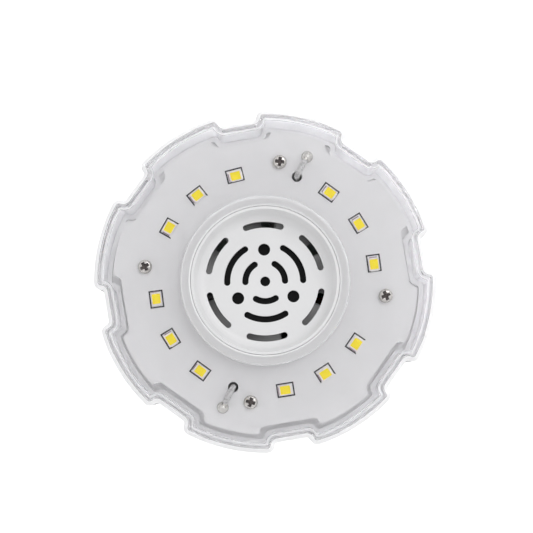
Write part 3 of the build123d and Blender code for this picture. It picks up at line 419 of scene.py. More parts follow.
class Finish(Nodes):
    """One node material under construction, with Object coordinates."""

    def __init__(self, name):
        self.material = bpy.data.materials.new(name)
        self.material.use_nodes = True
        super().__init__(self.material.node_tree)
        self.shader = self.tree.nodes["Principled BSDF"]
        coordinates = self.node("ShaderNodeTexCoord")
        self.place, self.facing = coordinates.outputs["Object"], coordinates.outputs["Normal"]

    def set(self, **values):
        """Sets constants on the shader's own sockets."""
        for key, value in values.items():
            socket = self.shader.inputs[key.replace("_", " ").title().replace("Ior", "IOR")]
            socket.default_value = (*value, 1.0) if socket.type == "RGBA" and len(value) == 3 else value
        return self

    def stretched(self, scale):
        """Object coordinates stretched by a scale on each axis."""
        mapping = self.node("ShaderNodeMapping", Scale=scale)
        self.link(self.place, mapping.inputs["Vector"])
        return mapping.outputs["Vector"]

    def reach(self):
        """Distance from the lamp's axis."""
        flat = self.node("ShaderNodeVectorMath", operation="MULTIPLY")
        flat.inputs[1].default_value = (1.0, 1.0, 0.0)
        self.link(self.place, flat.inputs[0])
        length = self.node("ShaderNodeVectorMath", operation="LENGTH")
        self.link(flat.outputs["Vector"], length.inputs[0])
        return length.outputs["Value"]

    def noise(self, scale, detail=3.0, where=None):
        """Noise value at a scale per metre."""
        made = self.node("ShaderNodeTexNoise", Scale=scale, Detail=detail)
        self.link(where or self.place, made.inputs["Vector"])
        return made.outputs["Fac"]

    def ramp(self, value, low, high, start=0.3, end=0.7):
        """Colour that runs between two tones with a value."""
        made = self.node("ShaderNodeValToRGB")
        made.color_ramp.elements[0].position = start
        made.color_ramp.elements[0].color = (*low, 1.0)
        made.color_ramp.elements[1].position = end
        made.color_ramp.elements[1].color = (*high, 1.0)
        self.link(value, made.inputs["Fac"])
        return made.outputs["Color"]

    def mottle(self, colour, value, share):
        """Colours the surface with small changes of tone."""
        low = tuple(c * (1.0 - share) for c in colour)
        high = tuple(min(c * (1.0 + share), 1.0) for c in colour)
        self.link(self.ramp(value, low, high), self.shader.inputs["Base Color"])
        return self

    def wear(self, value, low, high):
        """Roughness that runs between two levels with a value."""
        self.link(self.span(value, 0.0, 1.0, low, high), self.shader.inputs["Roughness"])
        return self

    def bump(self, value, strength, distance):
        """Raises the surface with a value."""
        made = self.node("ShaderNodeBump", Strength=strength, Distance=distance)
        self.link(value, made.inputs["Height"])
        self.link(made.outputs["Normal"], self.shader.inputs["Normal"])
        return self


def clear_plastic(name, colour, index=1.49):
    """Clear moulded plastic with a faint flow in its surface."""
    finish = Finish(name).set(base_color=colour, transmission_weight=1.0, ior=index, roughness=POLISH)
    return finish.bump(finish.noise(70.0, 1.0), 0.12, 0.0004)


def cover_plastic(name, tone):
    """Clear plastic that is satin and milky on the end cover's walls, rounded lip and tube mouth."""
    finish = clear_plastic(name, tone.clear, tone.bend)
    facing = finish.node("ShaderNodeSeparateXYZ")
    finish.link(finish.facing, facing.inputs["Vector"])
    upright = finish.node("ShaderNodeMath", operation="ABSOLUTE")
    finish.link(facing.outputs["Z"], upright.inputs[0])
    wall = finish.span(upright.outputs["Value"], *WALL_SLOPES, tone.satin, POLISH)
    tube_mouth = finish.span(finish.reach(), *TUBE_MOUTH, tone.satin, POLISH)
    finish.link(finish.pair("MAXIMUM", wall, tube_mouth), finish.shader.inputs["Roughness"])
    edge = finish.span(upright.outputs["Value"], *EDGE_SLOPES, tone.edge_clear, 1.0)
    mouth = finish.span(finish.reach(), *TUBE_MOUTH, tone.mouth_clear, 1.0)
    lip_start = finish.span(facing.outputs["Z"], *LIP_STARTS, 1.0, tone.lip_clear)
    lip_end = finish.span(facing.outputs["Z"], *LIP_ENDS, tone.lip_clear, 1.0)
    lip = finish.pair("MAXIMUM", lip_start, lip_end)
    frost = finish.pair("MINIMUM", finish.pair("MINIMUM", edge, mouth), lip)
    finish.link(frost, finish.shader.inputs["Transmission Weight"])
    finish.link(finish.ramp(frost, tone.milk, tone.clear, tone.lip_clear, 1.0), finish.shader.inputs["Base Color"])
    return finish.material


def board_mask(name, colour):
    """White printed mask with a fine grain and small changes of tone."""
    finish = Finish(name)
    finish.mottle(colour, finish.noise(160.0, 2.0), 0.012)
    finish.wear(finish.noise(900.0), 0.34, 0.46)
    return finish.bump(finish.noise(4200.0, 2.0), 0.10, 0.00004).material


def moulded(name, colour, rough=0.42, share=0.015):
    """Moulded plastic with a fine spark-eroded grain."""
    finish = Finish(name)
    finish.mottle(colour, finish.noise(90.0, 2.0), share)
    finish.wear(finish.noise(1400.0), rough - 0.06, rough + 0.06)
    return finish.bump(finish.noise(5200.0, 2.0), 0.16, 0.00005).material


def plated(name, colour, rough=0.28, share=0.10):
    """Plated metal with specks and small scratches."""
    finish = Finish(name).set(metallic=1.0)
    finish.mottle(colour, finish.noise(1100.0, 4.0), share)
    finish.wear(finish.noise(2600.0, 4.0), rough - 0.08, rough + 0.12)
    return finish.bump(finish.noise(3600.0, 4.0), 0.10, 0.00004).material


def extruded(name, colour):
    """Extruded aluminium with long die lines."""
    finish = Finish(name).set(metallic=1.0)
    lines = finish.noise(1.0, 3.0, finish.stretched((3200.0, 3200.0, 22.0)))
    finish.mottle(colour, lines, 0.05)
    finish.wear(lines, 0.28, 0.46)
    return finish.bump(lines, 0.18, 0.00005).material


def phosphor_with_painted_glow(name, colour):
    """Phosphor in silicone: a soft yellow with fine powder grain and a faint painted glow in the same yellow; the LEDs
    are not switched on.
    """
    # The emission is a painted glow: the phosphor shines a little though no LED is lit.
    finish = Finish(name).set(specular_ior_level=0.35, emission_color=colour, emission_strength=0.15)
    finish.mottle(colour, finish.noise(6000.0, 2.0), 0.05)
    finish.wear(finish.noise(2500.0), 0.30, 0.48)
    return finish.bump(finish.noise(7000.0, 2.0), 0.08, 0.00003).material


def fan_with_painted_blade_light(name, hub, painted_blade_light):
    """Fan plastic, black on the hub, with painted light on the blades: their lighter tone stands in for light falling
    on the black blades through the grille.
    """
    finish = Finish(name).set(specular_ior_level=0.15)
    blade_light_share = finish.span(finish.reach(), HUB_RADIUS, HUB_RADIUS + HUB_FADE, 0.0, 1.0)
    finish.link(finish.ramp(blade_light_share, hub, painted_blade_light, 0.0, 1.0), finish.shader.inputs["Base Color"])
    finish.wear(finish.noise(1800.0), 0.36, 0.52)
    return finish.bump(finish.noise(4000.0), 0.12, 0.00005).material


def taped(name, colour):
    """Wound tape with a seam at each turn."""
    finish = Finish(name)
    turns = finish.node("ShaderNodeTexWave", Scale=60.0, Distortion=0.6, bands_direction="Z")
    finish.link(finish.place, turns.inputs["Vector"])
    finish.mottle(colour, turns.outputs["Fac"], 0.10)
    finish.wear(turns.outputs["Fac"], 0.25, 0.40)
    return finish.bump(turns.outputs["Fac"], 0.2, 0.0001).material


class LAMP_OT_finishes(bpy.types.Operator):
    """Give every CAD node its finish"""

    bl_idname = "lamp.finishes"
    bl_label = "Finish CAD Nodes"

    def execute(self, context):
        tone = context.scene.lamp_finish
        white = moulded("white_moulding", tone.plastic)
        mask = board_mask("white_mask", tone.board)
        steel = plated("nickel_screw", tone.screw)
        black = moulded("black_resin", (0.02, 0.02, 0.021), 0.36, 0.06)
        dull = moulded("ferrite", (0.05, 0.05, 0.054), 0.62, 0.12)
        brass = plated("brass", (0.70, 0.50, 0.22), 0.24, 0.05)
        clear = clear_plastic("clear_strip_cover", tone.clear).material
        resin = moulded("led_package", tone.package, 0.32)
        yellow = phosphor_with_painted_glow("led_phosphor", tone.phosphor)
        sleeve = moulded("white_sleeve", tone.sleeve, 0.30)
        capacitor = (0.02, 0.025, 0.05)
        plain = {
            "base_insulator": moulded("black_glass_insulator", (0.018, 0.018, 0.02), 0.14, 0.05),
            "driver_board": moulded("green_laminate", (0.03, 0.16, 0.06), 0.30, 0.08),
            "line_choke": taped("choke_winding", (0.45, 0.16, 0.05)),
            "transformer_winding": taped("yellow_tape", (0.80, 0.55, 0.05)),
            "bulk_capacitor": moulded("capacitor_sleeve", capacitor, 0.22, 0.05),
            "output_capacitor": moulded("capacitor_sleeve_small", capacitor, 0.22, 0.05),
            "film_capacitor": moulded("film_box", (0.42, 0.06, 0.03), 0.26, 0.05),
            "fuse": clear_plastic("fuse_glass", (0.9, 0.93, 0.92)).material,
            "heatsink": extruded("extruded_aluminium", (0.74, 0.74, 0.76)),
            "end_frame": moulded("white_coated_aluminium", tone.coat, 0.40),
            "end_board": mask,
            "end_cover": clear,
            "end_leds": resin,
            "fan_frame": moulded("black_fan_frame", tone.fan, 0.42, 0.08),
            "fan_impeller": fan_with_painted_blade_light("fan_impeller", tone.fan, tone.painted_blade_light),
            "fan_stator": taped("copper_coils", (0.50, 0.20, 0.08)),
        }
        shared = (
            (brass, ("center_contact", "fan_bearing")),
            (white, ("driver_housing", "housing_neck", "fan_grille")),
            (steel, ("housing_screws", "fan_screws", "fan_shaft", "board_screws", "solder_joints", "screw_shell")),
            (dull, ("transformer_core", "rotor_magnet")),
            (black, ("power_switch", "bridge_rectifier")),
            (sleeve, ("contact_lead", "shell_lead", "end_leads")),
            (yellow, ("end_phosphor", "strip_phosphor")),
        )
        for material, names in shared:
            plain.update(dict.fromkeys(names, material))
        for number in STRIPS:
            plain[f"led_strip_{number}"] = mask
            plain[f"strip_leds_{number}"] = resin
            plain[f"strip_cover_{number}"] = clear
        for node, material in plain.items():
            nodes[node].data.materials.clear()
            nodes[node].data.materials.append(material)
        return {"FINISHED"}


class LAMP_OT_led_packages(bpy.types.Operator):
    """Model the end LEDs' packages, windows and end tabs"""

    bl_idname = "lamp.led_packages"
    bl_label = "End LEDs"

    def execute(self, context):
        board = context.scene.lamp_board
        tone = context.scene.lamp_finish
        long, wide, high = board.package
        places = led_places(board)
        deselect()

        bpy.ops.mesh.primitive_cube_add(size=1.0, location=(0, 0, high / 2))
        package = named("end_led_packages", (long, wide, high))
        edit(package)
        margin = (wide - board.window[1]) / 2
        cut_corner, cup_slope, rounding = wide * 0.18, margin * 0.35, margin * 0.2
        pick(package, "EDGE", lambda middle, run: abs(run.z) > 0.9 and middle.x > 0 and middle.y > 0)
        bpy.ops.mesh.bevel(offset=cut_corner, segments=1)
        pick(package, "FACE", lambda middle, normal: normal.z > 0.9)
        bpy.ops.mesh.inset(thickness=margin, depth=0.0)
        mesh = bmesh.from_edit_mesh(package.data)
        for v in mesh.verts:
            if v.select:
                v.co.x = max(-board.window[0] / 2, min(board.window[0] / 2, v.co.x))
        bmesh.update_edit_mesh(package.data)
        bpy.ops.mesh.inset(thickness=cup_slope, depth=-board.window_depth)
        pick(package, "EDGE", lambda middle, run: middle.z > high * 0.98 and abs(run.z) < 0.1)
        bpy.ops.mesh.bevel(offset=rounding, segments=2)
        close(package)
        settle(repeat(package, places), moulded("end_led_package", tone.package, 0.30), "led_body",
               "end_leds")

        gap, sag = margin * 0.1, board.window_depth * 0.12
        half = (board.window[0] / 2 - gap, board.window[1] / 2 - gap)
        top = high - board.window_depth * 0.25
        bpy.ops.mesh.primitive_grid_add(x_subdivisions=10, y_subdivisions=8, size=1.0, location=(0, 0, top))
        window = named("end_led_windows", (2 * half[0], 2 * half[1], 1.0))
        edit(window)
        bpy.ops.mesh.select_all(action="SELECT")
        extrude((0, 0, -board.window_depth * 0.7))
        outward()
        pick(window, "FACE", lambda middle, normal: normal.z > 0.9 and abs(middle.x) < half[0] * 0.75
             and abs(middle.y) < half[1] * 0.7)
        bpy.ops.transform.translate(value=(0, 0, -sag))
        pick(window, "FACE", lambda middle, normal: normal.z > 0.5)
        bpy.ops.mesh.vertices_smooth(factor=0.5, repeat=2)
        close(window, 60.0)
        settle(repeat(window, places), phosphor_with_painted_glow("end_led_phosphor", tone.phosphor), "phosphor",
               "end_phosphor")

        tab_wide, tab_high = wide * 0.72, high * 0.28
        # The dark tab is a painted shadow at one end of each package; the pale tab is the solder tab at the other end.
        tabs = (
            ("end_led_painted_shadow_tabs", 0.0, high * 0.85, (0.34, 0.28, 0.31)),
            ("end_led_tabs", pi, high * 0.45, (0.72, 0.70, 0.66)),
        )
        for name, turn, tab_long, colour in tabs:
            deselect()
            bpy.ops.mesh.primitive_cube_add(size=1.0, location=(long / 2, 0, tab_high / 2))
            tab = named(name, (tab_long, tab_wide, tab_high))
            edit(tab)
            pick(tab, "EDGE", lambda middle, run: middle.z > tab_high * 0.7 and middle.x > long / 2)
            bpy.ops.mesh.bevel(offset=high * 0.12, segments=2)
            close(tab)
            turned = []
            # Half the LEDs turn round, so that the painted shadow lies on the side away from the light.
            for number, place in enumerate(places):
                shadow_side_flip = pi if number >= len(places) // 2 else 0.0
                turned.append(place @ Matrix.Rotation(turn + shadow_side_flip, 4, "Z"))
            settle(repeat(tab, turned), plated(name, colour, 0.3), "screw_steel")
        return {"FINISHED"}


class LAMP_OT_ink_outlines(bpy.types.Operator):
    """Print the ink outlines round the end LEDs"""

    bl_idname = "lamp.ink_outlines"
    bl_label = "Ink Outlines"

    def execute(self, context):
        board = context.scene.lamp_board
        tone = context.scene.lamp_finish
        long, wide = board.outline
        # The print lies a little off its LEDs, in millimetres along and across each, and some outlines lack a side.
        shifts = [(0.35, 0.0)] * 3 + [(0.15, -0.25), (0.10, -0.05), (0.10, -0.05)]
        shifts += [(0.05, 0.0), (-0.25, 0.0), (-0.05, 0.0)] + [(0.05, 0.05), (0.0, 0.35), (0.0, 0.30)]
        open_sides = {4: 1, 5: 1, 10: -1, 11: -1}
        outlines = []
        for number, place in enumerate(led_places(board)):
            deselect()
            along, across = (shift * MILLIMETRE for shift in shifts[number])
            bpy.ops.mesh.primitive_plane_add(size=1.0, location=(along, across, 0))
            outline = named("led_outline", (long, wide, 1.0))
            side = open_sides.get(number, 0)
            edit(outline)
            bpy.ops.mesh.select_all(action="SELECT")
            bpy.ops.mesh.inset(thickness=board.ink_line, depth=0.0)
            bpy.ops.mesh.delete(type="FACE")
            if side:
                pick(outline, "FACE", lambda middle, normal: (middle.y - across) * side > wide * 0.4)
                bpy.ops.mesh.delete(type="FACE")
            bpy.ops.mesh.select_all(action="SELECT")
            extrude((0, 0, board.ink_height))
            outward()
            close(outline)
            outline.data.transform(place)
            outlines.append(outline)
        ink = Finish("outline_ink")
        ink.mottle(tone.ink, ink.noise(5000.0), 0.25)
        ink.wear(ink.noise(3000.0), 0.45, 0.60)
        settle(join(outlines, "led_outlines"), ink.material, "black_resin")
        return {"FINISHED"}


class LAMP_OT_board_screws(bpy.types.Operator):
    """Model the cross-recess pan screws of the end board"""

    bl_idname = "lamp.board_screws"
    bl_label = "Board Screws"

    def execute(self, context):
        sizes = context.scene.lamp_fastener
        tone = context.scene.lamp_finish
        radius, high = sizes.head_radius, sizes.head_height
        deselect()
        bpy.ops.mesh.primitive_cylinder_add(vertices=48, radius=radius, depth=high, location=(0, 0, high / 2))
        screw = named("board_screw_heads")
        edit(screw)
        pick(screw, "EDGE", lambda middle, run: middle.z > high * 0.99)
        rounding = high * 0.62
        bpy.ops.mesh.bevel(offset=rounding, segments=6)
        pick(screw, "FACE", lambda middle, normal: normal.z < -0.9)
        bpy.ops.mesh.inset(thickness=radius - sizes.shank_radius, depth=0.0)
        length = BOARD_TOP - BODY_TOP + sizes.grip
        extrude((0, 0, -length))
        bpy.ops.mesh.bevel(offset=sizes.shank_radius * 0.4, segments=2)
        close(screw)

        arm, slot_half = radius * 0.84, radius * 0.31
        bpy.ops.mesh.primitive_cube_add(size=1.0, location=(0, 0, high))
        cross = named("cross_recess", (slot_half * 2, slot_half * 2, high))
        edit(cross)
        for number in range(4):
            way = polar(1.0, number * QUARTER, 0.0)
            pick(cross, "FACE", lambda middle, normal: normal.dot(way) > 0.9
                 and Vector((middle.x, middle.y, 0)).angle(way, pi) < 0.1)
            extrude(way * (arm - slot_half))
        draft = 0.62
        pick(cross, "VERT", lambda spot, normal: spot.z < high)
        bpy.ops.transform.resize(value=(draft, draft, 1.0), center_override=(0, 0, 0))
        outward()
        bpy.ops.object.mode_set(mode="OBJECT")
        cut = screw.modifiers.new("recess", "BOOLEAN")
        cut.operation = "DIFFERENCE"
        cut.object = cross
        apply_modifiers(screw)
        bpy.data.objects.remove(cross)
        edge = screw.modifiers.new("worn_edges", "BEVEL")
        edge.width = radius * 0.03
        edge.segments = 2
        edge.limit_method = "ANGLE"
        edge.angle_limit = radians(40.0)
        apply_modifiers(screw)
        close(screw)
        nickel = plated("board_screw_nickel", tone.screw, 0.24, 0.12)
        screw.data.materials.append(nickel)
        screw.data.materials.append(plated("board_screw_painted_recess_shade", tone.recess, 0.45, 0.20))
        # Faces inside the cross recess get the dark painted shade instead of the nickel.
        for face in screw.data.polygons:
            over = max(Vector((face.center.x, face.center.y)).length - radius + rounding, 0.0)
            dome = high - rounding + sqrt(max(rounding ** 2 - over ** 2, 0.0))
            face.material_index = int(0 < face.center.z < dome - high * 0.03 and over < rounding * 0.8)
        places = []
        tightened = 0.7
        for number in range(4):
            angle = sizes.screw_angle + number * QUARTER
            places.append(board_place(sizes.screw_circle, angle, angle + number * tightened))
        settle(repeat(screw, places), nickel, "screw_steel", "board_screws")
        return {"FINISHED"}


def tube(name, points, radius):
    """Round tube along a smooth line through control points, as a mesh."""
    deselect()
    bpy.ops.curve.primitive_nurbs_path_add()
    line = bpy.context.object
    spline = line.data.splines[0]
    spline.points.add(len(points) - len(spline.points))
    for point, spot in zip(spline.points, points):
        point.co = (*spot, 1.0)
    spline.order_u = 3
    spline.use_endpoint_u = True
    spline.resolution_u = 10
    line.data.bevel_depth = radius
    line.data.bevel_resolution = 5
    line.data.use_fill_caps = True
    line.location = (0, 0, 0)
    bpy.ops.object.convert(target="MESH")
    tube_piece = named(name)
    bpy.ops.object.shade_smooth_by_angle(angle=radians(50.0))
    return tube_piece


class LAMP_OT_leads(bpy.types.Operator):
    """Run the sleeved leads up to the end board, with their tinned ends"""

    bl_idname = "lamp.leads"
    bl_label = "End Leads"

    def execute(self, context):
        sizes = context.scene.lamp_fastener
        board = context.scene.lamp_board
        tone = context.scene.lamp_finish
        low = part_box("end_leads")[0].z
        ring = board.led_circle
        sink_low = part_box("heatsink")[0].z
        start = 0.00176
        # Over the board: how far past the LED circle, which share of the swing and how high.
        bend = ((0.0, 0.0, -0.002), (0.0, 0.0, 0.0022), (0.0016, 0.3, 0.0030), (0.0046, 0.8, 0.0014))
        bare = ((0.0030, 0.5, 0.0023), (0.0039, 0.68, 0.0018), (0.0048, 0.84, 0.0013))
        # In the solder: how far past its circle and how high.
        soldered = ((0.0003, 0.0009), (0.0009, 0.0006))
        sleeves, wires = [], []
        swing = sizes.lead_swing
        for number in range(2):
            angle = sizes.lead_angle + pi * number
            route = [
                polar(start, angle, low),
                polar(start, angle, sink_low - 0.004),
                polar(0.003, angle, sink_low + 0.003),
                polar(ring - 0.004, angle, sink_low + ring - 0.004),
                polar(ring, angle, sink_low + ring + 0.006),
                polar(ring, angle, BODY_TOP),
            ]
            route += [polar(ring + past, angle + swing * share, BOARD_TOP + rise) for past, share, rise in bend]
            sleeves.append(tube("lead_sleeves", route, sizes.sleeve_radius))
            tip = [polar(ring + past, angle + swing * share, BOARD_TOP + rise) for past, share, rise in bare]
            tip += [polar(sizes.solder_circle + past, angle + swing, BOARD_TOP + rise) for past, rise in soldered]
            wires.append(tube("lead_wires", tip, sizes.wire_radius))
        sleeve = Finish("lead_sleeve").set(base_color=tone.sleeve, transmission_weight=0.25, ior=1.45)
        sleeve.wear(sleeve.noise(1500.0), 0.22, 0.34)
        sleeve.bump(sleeve.noise(1200.0), 0.10, 0.00005)
        settle(join(sleeves, "lead_sleeves"), sleeve.material, "white_sleeve", "end_leads")
        settle(join(wires, "lead_wires"), plated("tinned_wire", (0.70, 0.68, 0.64), 0.30), "screw_steel")
        return {"FINISHED"}


class LAMP_OT_solder(bpy.types.Operator):
    """Model the two solder joints"""

    bl_idname = "lamp.solder"
    bl_label = "Solder Joints"

    def execute(self, context):
        sizes = context.scene.lamp_fastener
        places = []
        for number in range(2):
            angle = sizes.lead_angle + sizes.lead_swing + pi * number
            places.append(board_place(sizes.solder_circle, angle, angle))
        deselect()
        bpy.ops.mesh.primitive_uv_sphere_add(segments=40, ring_count=24, radius=1.0)
        blob = named("solder_blobs", (sizes.solder_radius, sizes.solder_radius, sizes.solder_height))
        edit(blob)
        bpy.ops.mesh.select_all(action="SELECT")
        bpy.ops.mesh.bisect(plane_co=(0, 0, 0), plane_no=(0, 0, 1), clear_inner=True, use_fill=True)
        pick(blob, "VERT", lambda spot, normal: spot.z > sizes.solder_height * 0.1)
        bpy.ops.transform.vertex_random(offset=sizes.solder_radius * 0.11, uniform=0.4, normal=0.6, seed=7)
        bpy.ops.mesh.vertices_smooth(factor=0.5, repeat=3)
        pick(blob, "VERT", lambda spot, normal: spot.z > sizes.solder_height * 0.5)
        pinch = 0.82
        bpy.ops.transform.resize(value=(pinch, pinch, 1.0), center_override=(0, 0, 0))
        bpy.ops.mesh.vertices_smooth(factor=0.5, repeat=2)
        close(blob, 60.0)
        settle(repeat(blob, places), plated("tinned_solder", (0.60, 0.59, 0.56), 0.20, 0.10), "screw_steel",
               "solder_joints")
        return {"FINISHED"}


class LAMP_OT_screw_shell(bpy.types.Operator):
    """Roll the screw shell's thread from thin sheet"""

    bl_idname = "lamp.screw_shell"
    bl_label = "Screw Shell"

    def execute(self, context):
        sizes = context.scene.lamp_shell
        low, high = SHELL_LOW.z, SHELL_HIGH.z
        mean = sizes.crest - sizes.depth / 2
        steps, turns, facets = 16, 7, 96
        deselect()
        bpy.ops.mesh.primitive_circle_add(vertices=steps + 1, radius=1.0)
        shell = named("screw_shell_sheet")
        edit(shell, "VERT")
        mesh = bmesh.from_edit_mesh(shell.data)
        mesh.verts.ensure_lookup_table()
        mesh.edges.remove(mesh.edges.get((mesh.verts[steps], mesh.verts[0])))
        for number, v in enumerate(mesh.verts):
            share = number / steps
            v.co = (mean - cos(2 * pi * share) * sizes.depth / 2, 0.0, low + sizes.pitch * (share - 1.0))
        bmesh.update_edit_mesh(shell.data)
        bpy.ops.object.mode_set(mode="OBJECT")
        turn = shell.modifiers.new("thread", "SCREW")
        turn.axis = "Z"
        turn.screw_offset = sizes.pitch
        turn.iterations = turns
        turn.steps = facets
        turn.render_steps = facets
        turn.use_merge_vertices = True
        turn.merge_threshold = NEAR
        apply_modifiers(shell)
        edit(shell, "VERT")
        outward()
        for cut_height, side in ((low, "inner"), (high - sizes.collar, "outer")):
            bpy.ops.mesh.select_all(action="SELECT")
            bpy.ops.mesh.bisect(plane_co=(0, 0, cut_height), plane_no=(0, 0, 1), clear_inner=side == "inner",
                                clear_outer=side == "outer")
        mesh = bmesh.from_edit_mesh(shell.data)
        rise = (sizes.crest + sizes.collar_step - sizes.bore) / sizes.lead_in
        for v in mesh.verts:
            reach = Vector((v.co.x, v.co.y)).length
            limit = sizes.bore + (v.co.z - low) * rise
            if reach > limit:
                v.co.x *= limit / reach
                v.co.y *= limit / reach
        bmesh.update_edit_mesh(shell.data)
        pick(shell, "EDGE", lambda middle, run: middle.z < low + NEAR)
        bpy.ops.mesh.extrude_edges_move()
        bpy.ops.transform.resize(value=((sizes.bore - sizes.lip) / sizes.bore,) * 2 + (1.0,),
                                 center_override=(0, 0, low))
        outward()
        bpy.ops.object.mode_set(mode="OBJECT")
        thicken(shell, sizes.wall)

        deselect()
        top = sizes.crest + sizes.collar_step
        bpy.ops.mesh.primitive_cylinder_add(vertices=facets, radius=top, depth=sizes.collar, end_fill_type="NOTHING",
                                            location=(0, 0, high - sizes.collar / 2))
        collar = named("collar")
        edit(collar, "EDGE")
        pick(collar, "EDGE", lambda middle, run: middle.z < high - sizes.collar * 0.99)
        bpy.ops.mesh.extrude_edges_move()
        bpy.ops.transform.resize(value=((mean - sizes.depth / 2) / top,) * 2 + (1.0,),
                                 center_override=(0, 0, high - sizes.collar))
        pick(collar, "EDGE", lambda middle, run: abs(middle.z - high + sizes.collar) < NEAR
             and Vector((middle.x, middle.y)).length > mean and abs(run.z) < 0.1)
        bpy.ops.mesh.bevel(offset=sizes.wall * 0.8, segments=3)
        outward()
        bpy.ops.object.mode_set(mode="OBJECT")
        thicken(collar, sizes.wall)
        join([shell, collar], "screw_shell_sheet")
        close(shell, 40.0)
        nickel = Finish("nickel_shell").set(metallic=1.0)
        rolled = nickel.noise(1.0, 3.0, nickel.stretched((260.0, 260.0, 1500.0)))
        nickel.mottle((0.50, 0.485, 0.455), rolled, 0.05)
        nickel.wear(rolled, 0.20, 0.36)
        nickel.bump(rolled, 0.10, 0.00005)
        settle(shell, nickel.material, "nickel_shell", "screw_shell")
        return {"FINISHED"}


class LAMP_OT_clear_cover(bpy.types.Operator):
    """Smooth the clear end cover's moulded edges"""

    bl_idname = "lamp.clear_cover"
    bl_label = "Clear End Cover"

    def execute(self, context):
        tone = context.scene.lamp_finish
        deselect()
        cover = bpy.data.objects.new("clear_end_cover", nodes["end_cover"].data.copy())
        cover.data.materials.clear()
        context.collection.objects.link(cover)
        edit(cover)
        bpy.ops.mesh.customdata_custom_splitnormals_clear()
        bpy.ops.mesh.select_all(action="SELECT")
        bpy.ops.mesh.remove_doubles(threshold=NEAR)
        seats = (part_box("end_cover")[0].z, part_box("end_frame")[1].z)
        pick(cover, "VERT", lambda spot, normal: min(abs(spot.z - seat) for seat in seats) < 1e-5)
        bpy.ops.transform.translate(value=(0, 0, tone.contact_gap))
        close(cover, 30.0)
        flat = cover.modifiers.new("flat_faces", "WEIGHTED_NORMAL")
        flat.keep_sharp = True
        apply_modifiers(cover)
        settle(cover, cover_plastic("clear_end_cover", tone), "clear_plastic", "end_cover")
        return {"FINISHED"}


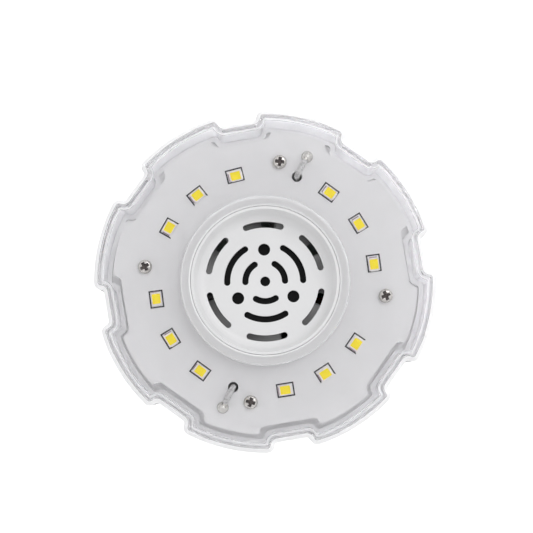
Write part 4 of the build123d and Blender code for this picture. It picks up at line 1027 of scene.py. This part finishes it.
class LAMP_OT_stage(bpy.types.Operator):
    """Set the white floor, the soft light and the camera"""

    bl_idname = "lamp.stage"
    bl_label = "Stage"

    def execute(self, context):
        stage = context.scene.lamp_stage
        scene = context.scene
        scene.view_settings.view_transform = "Standard"

        low_sky, high_sky = 0.15, 0.60
        floor_size = 4.0
        world = bpy.data.worlds.new("white_surroundings")
        world.use_nodes = True
        scene.world = world
        sky = Nodes(world.node_tree)
        background = sky.tree.nodes["Background"]
        background.inputs["Color"].default_value = (1.0, 1.0, 1.0, 1.0)
        height = sky.node("ShaderNodeSeparateXYZ")
        sky.link(sky.node("ShaderNodeTexCoord").outputs["Generated"], height.inputs["Vector"])
        unseen = sky.span(height.outputs["Z"], low_sky, high_sky, stage.side_level, stage.fill_level)
        level = sky.node("ShaderNodeMapRange")
        sky.link(unseen, level.inputs["To Min"])
        sky.link(sky.seen(), level.inputs["Value"])
        sky.link(level.outputs["Result"], background.inputs["Strength"])

        deselect()
        bpy.ops.mesh.primitive_grid_add(x_subdivisions=8, y_subdivisions=8, size=floor_size,
                                        location=(0, 0, -stage.floor_drop))
        floor = named("white_floor")
        paper = Finish("white_paper").set(roughness=0.9, specular_ior_level=0.0, emission_color=(1.0, 1.0, 1.0))
        paper.mottle((0.90, 0.90, 0.90), paper.noise(3.0), 0.01)
        glow = paper.span(paper.seen(stage.floor_mirror), 0.0, 1.0, 0.0, stage.floor_glow)
        paper.link(glow, paper.shader.inputs["Emission Strength"])
        floor.data.materials.append(paper.material)

        middle = Vector((0, 0, BOARD_TOP))
        away = Vector((cos(stage.heading), sin(stage.heading), 0))
        up, right = -away, Vector((-away.y, away.x, 0))
        spot = middle + stage.distance * (away * sin(stage.tilt) + Vector((0, 0, cos(stage.tilt))))
        aim = middle + up * stage.aim_up + right * stage.aim_right
        lens = bpy.data.cameras.new("camera")
        lens.sensor_fit = "HORIZONTAL"
        lens.angle = stage.view_angle
        lens.clip_start = 0.01
        camera = bpy.data.objects.new("camera", lens)
        context.collection.objects.link(camera)
        camera.location = spot
        camera.rotation_euler = (aim - spot).to_track_quat("-Z", "Y").to_euler()
        scene.camera = camera

        key_place = up * 0.30 + right * 0.30 + Vector((0, 0, 0.52))
        key_size, front_size = 0.5, 0.02
        lamps = (
            ("key_light", key_size, stage.key_power, key_place),
            ("front_light", front_size, stage.front_power, Vector((0, 0, stage.distance))),
        )
        for name, size, power, offset in lamps:
            light = bpy.data.lights.new(name, "AREA")
            light.shape = "DISK"
            light.size = size
            light.energy = power
            lamp = bpy.data.objects.new(name, light)
            context.collection.objects.link(lamp)
            lamp.location = middle + offset
            lamp.rotation_euler = (-offset).to_track_quat("-Z", "Y").to_euler()
        return {"FINISHED"}


class LAMP_PT_looks(bpy.types.Panel):
    """Pieces and settings of the lamp"""

    bl_idname = "LAMP_PT_looks"
    bl_label = "Retrofit Lamp"
    bl_space_type = "VIEW_3D"
    bl_region_type = "UI"
    bl_category = "Lamp"

    def draw(self, context):
        layout = self.layout
        for operator in OPERATORS:
            layout.operator(operator.bl_idname)
        for group in SETTINGS:
            box = layout.box()
            for field in getattr(context.scene, group).bl_rna.properties.keys():
                if field not in ("rna_type", "name"):
                    box.prop(getattr(context.scene, group), field)


SETTINGS = {
    "lamp_board": LampBoardSettings,
    "lamp_fastener": LampFastenerSettings,
    "lamp_shell": LampShellSettings,
    "lamp_finish": LampFinishSettings,
    "lamp_stage": LampStageSettings,
}
OPERATORS = (
    LAMP_OT_stage,
    LAMP_OT_finishes,
    LAMP_OT_clear_cover,
    LAMP_OT_led_packages,
    LAMP_OT_ink_outlines,
    LAMP_OT_board_screws,
    LAMP_OT_leads,
    LAMP_OT_solder,
    LAMP_OT_screw_shell,
)


def register():
    """Registers the settings, the operators and the panel."""
    for name, group in SETTINGS.items():
        bpy.utils.register_class(group)
        setattr(bpy.types.Scene, name, PointerProperty(type=group))
    for operator in OPERATORS:
        bpy.utils.register_class(operator)
    bpy.utils.register_class(LAMP_PT_looks)


def unregister():
    """Takes the panel, the operators and the settings away again."""
    bpy.utils.unregister_class(LAMP_PT_looks)
    for operator in reversed(OPERATORS):
        bpy.utils.unregister_class(operator)
    for name, group in reversed(SETTINGS.items()):
        delattr(bpy.types.Scene, name)
        bpy.utils.unregister_class(group)


def main():
    """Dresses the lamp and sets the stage."""
    register()
    bpy.ops.lamp.stage()
    bpy.ops.lamp.finishes()
    bpy.ops.lamp.clear_cover()
    bpy.ops.lamp.led_packages()
    bpy.ops.lamp.ink_outlines()
    bpy.ops.lamp.board_screws()
    bpy.ops.lamp.leads()
    bpy.ops.lamp.solder()
    bpy.ops.lamp.screw_shell()


if __name__ == "__main__":
    main()
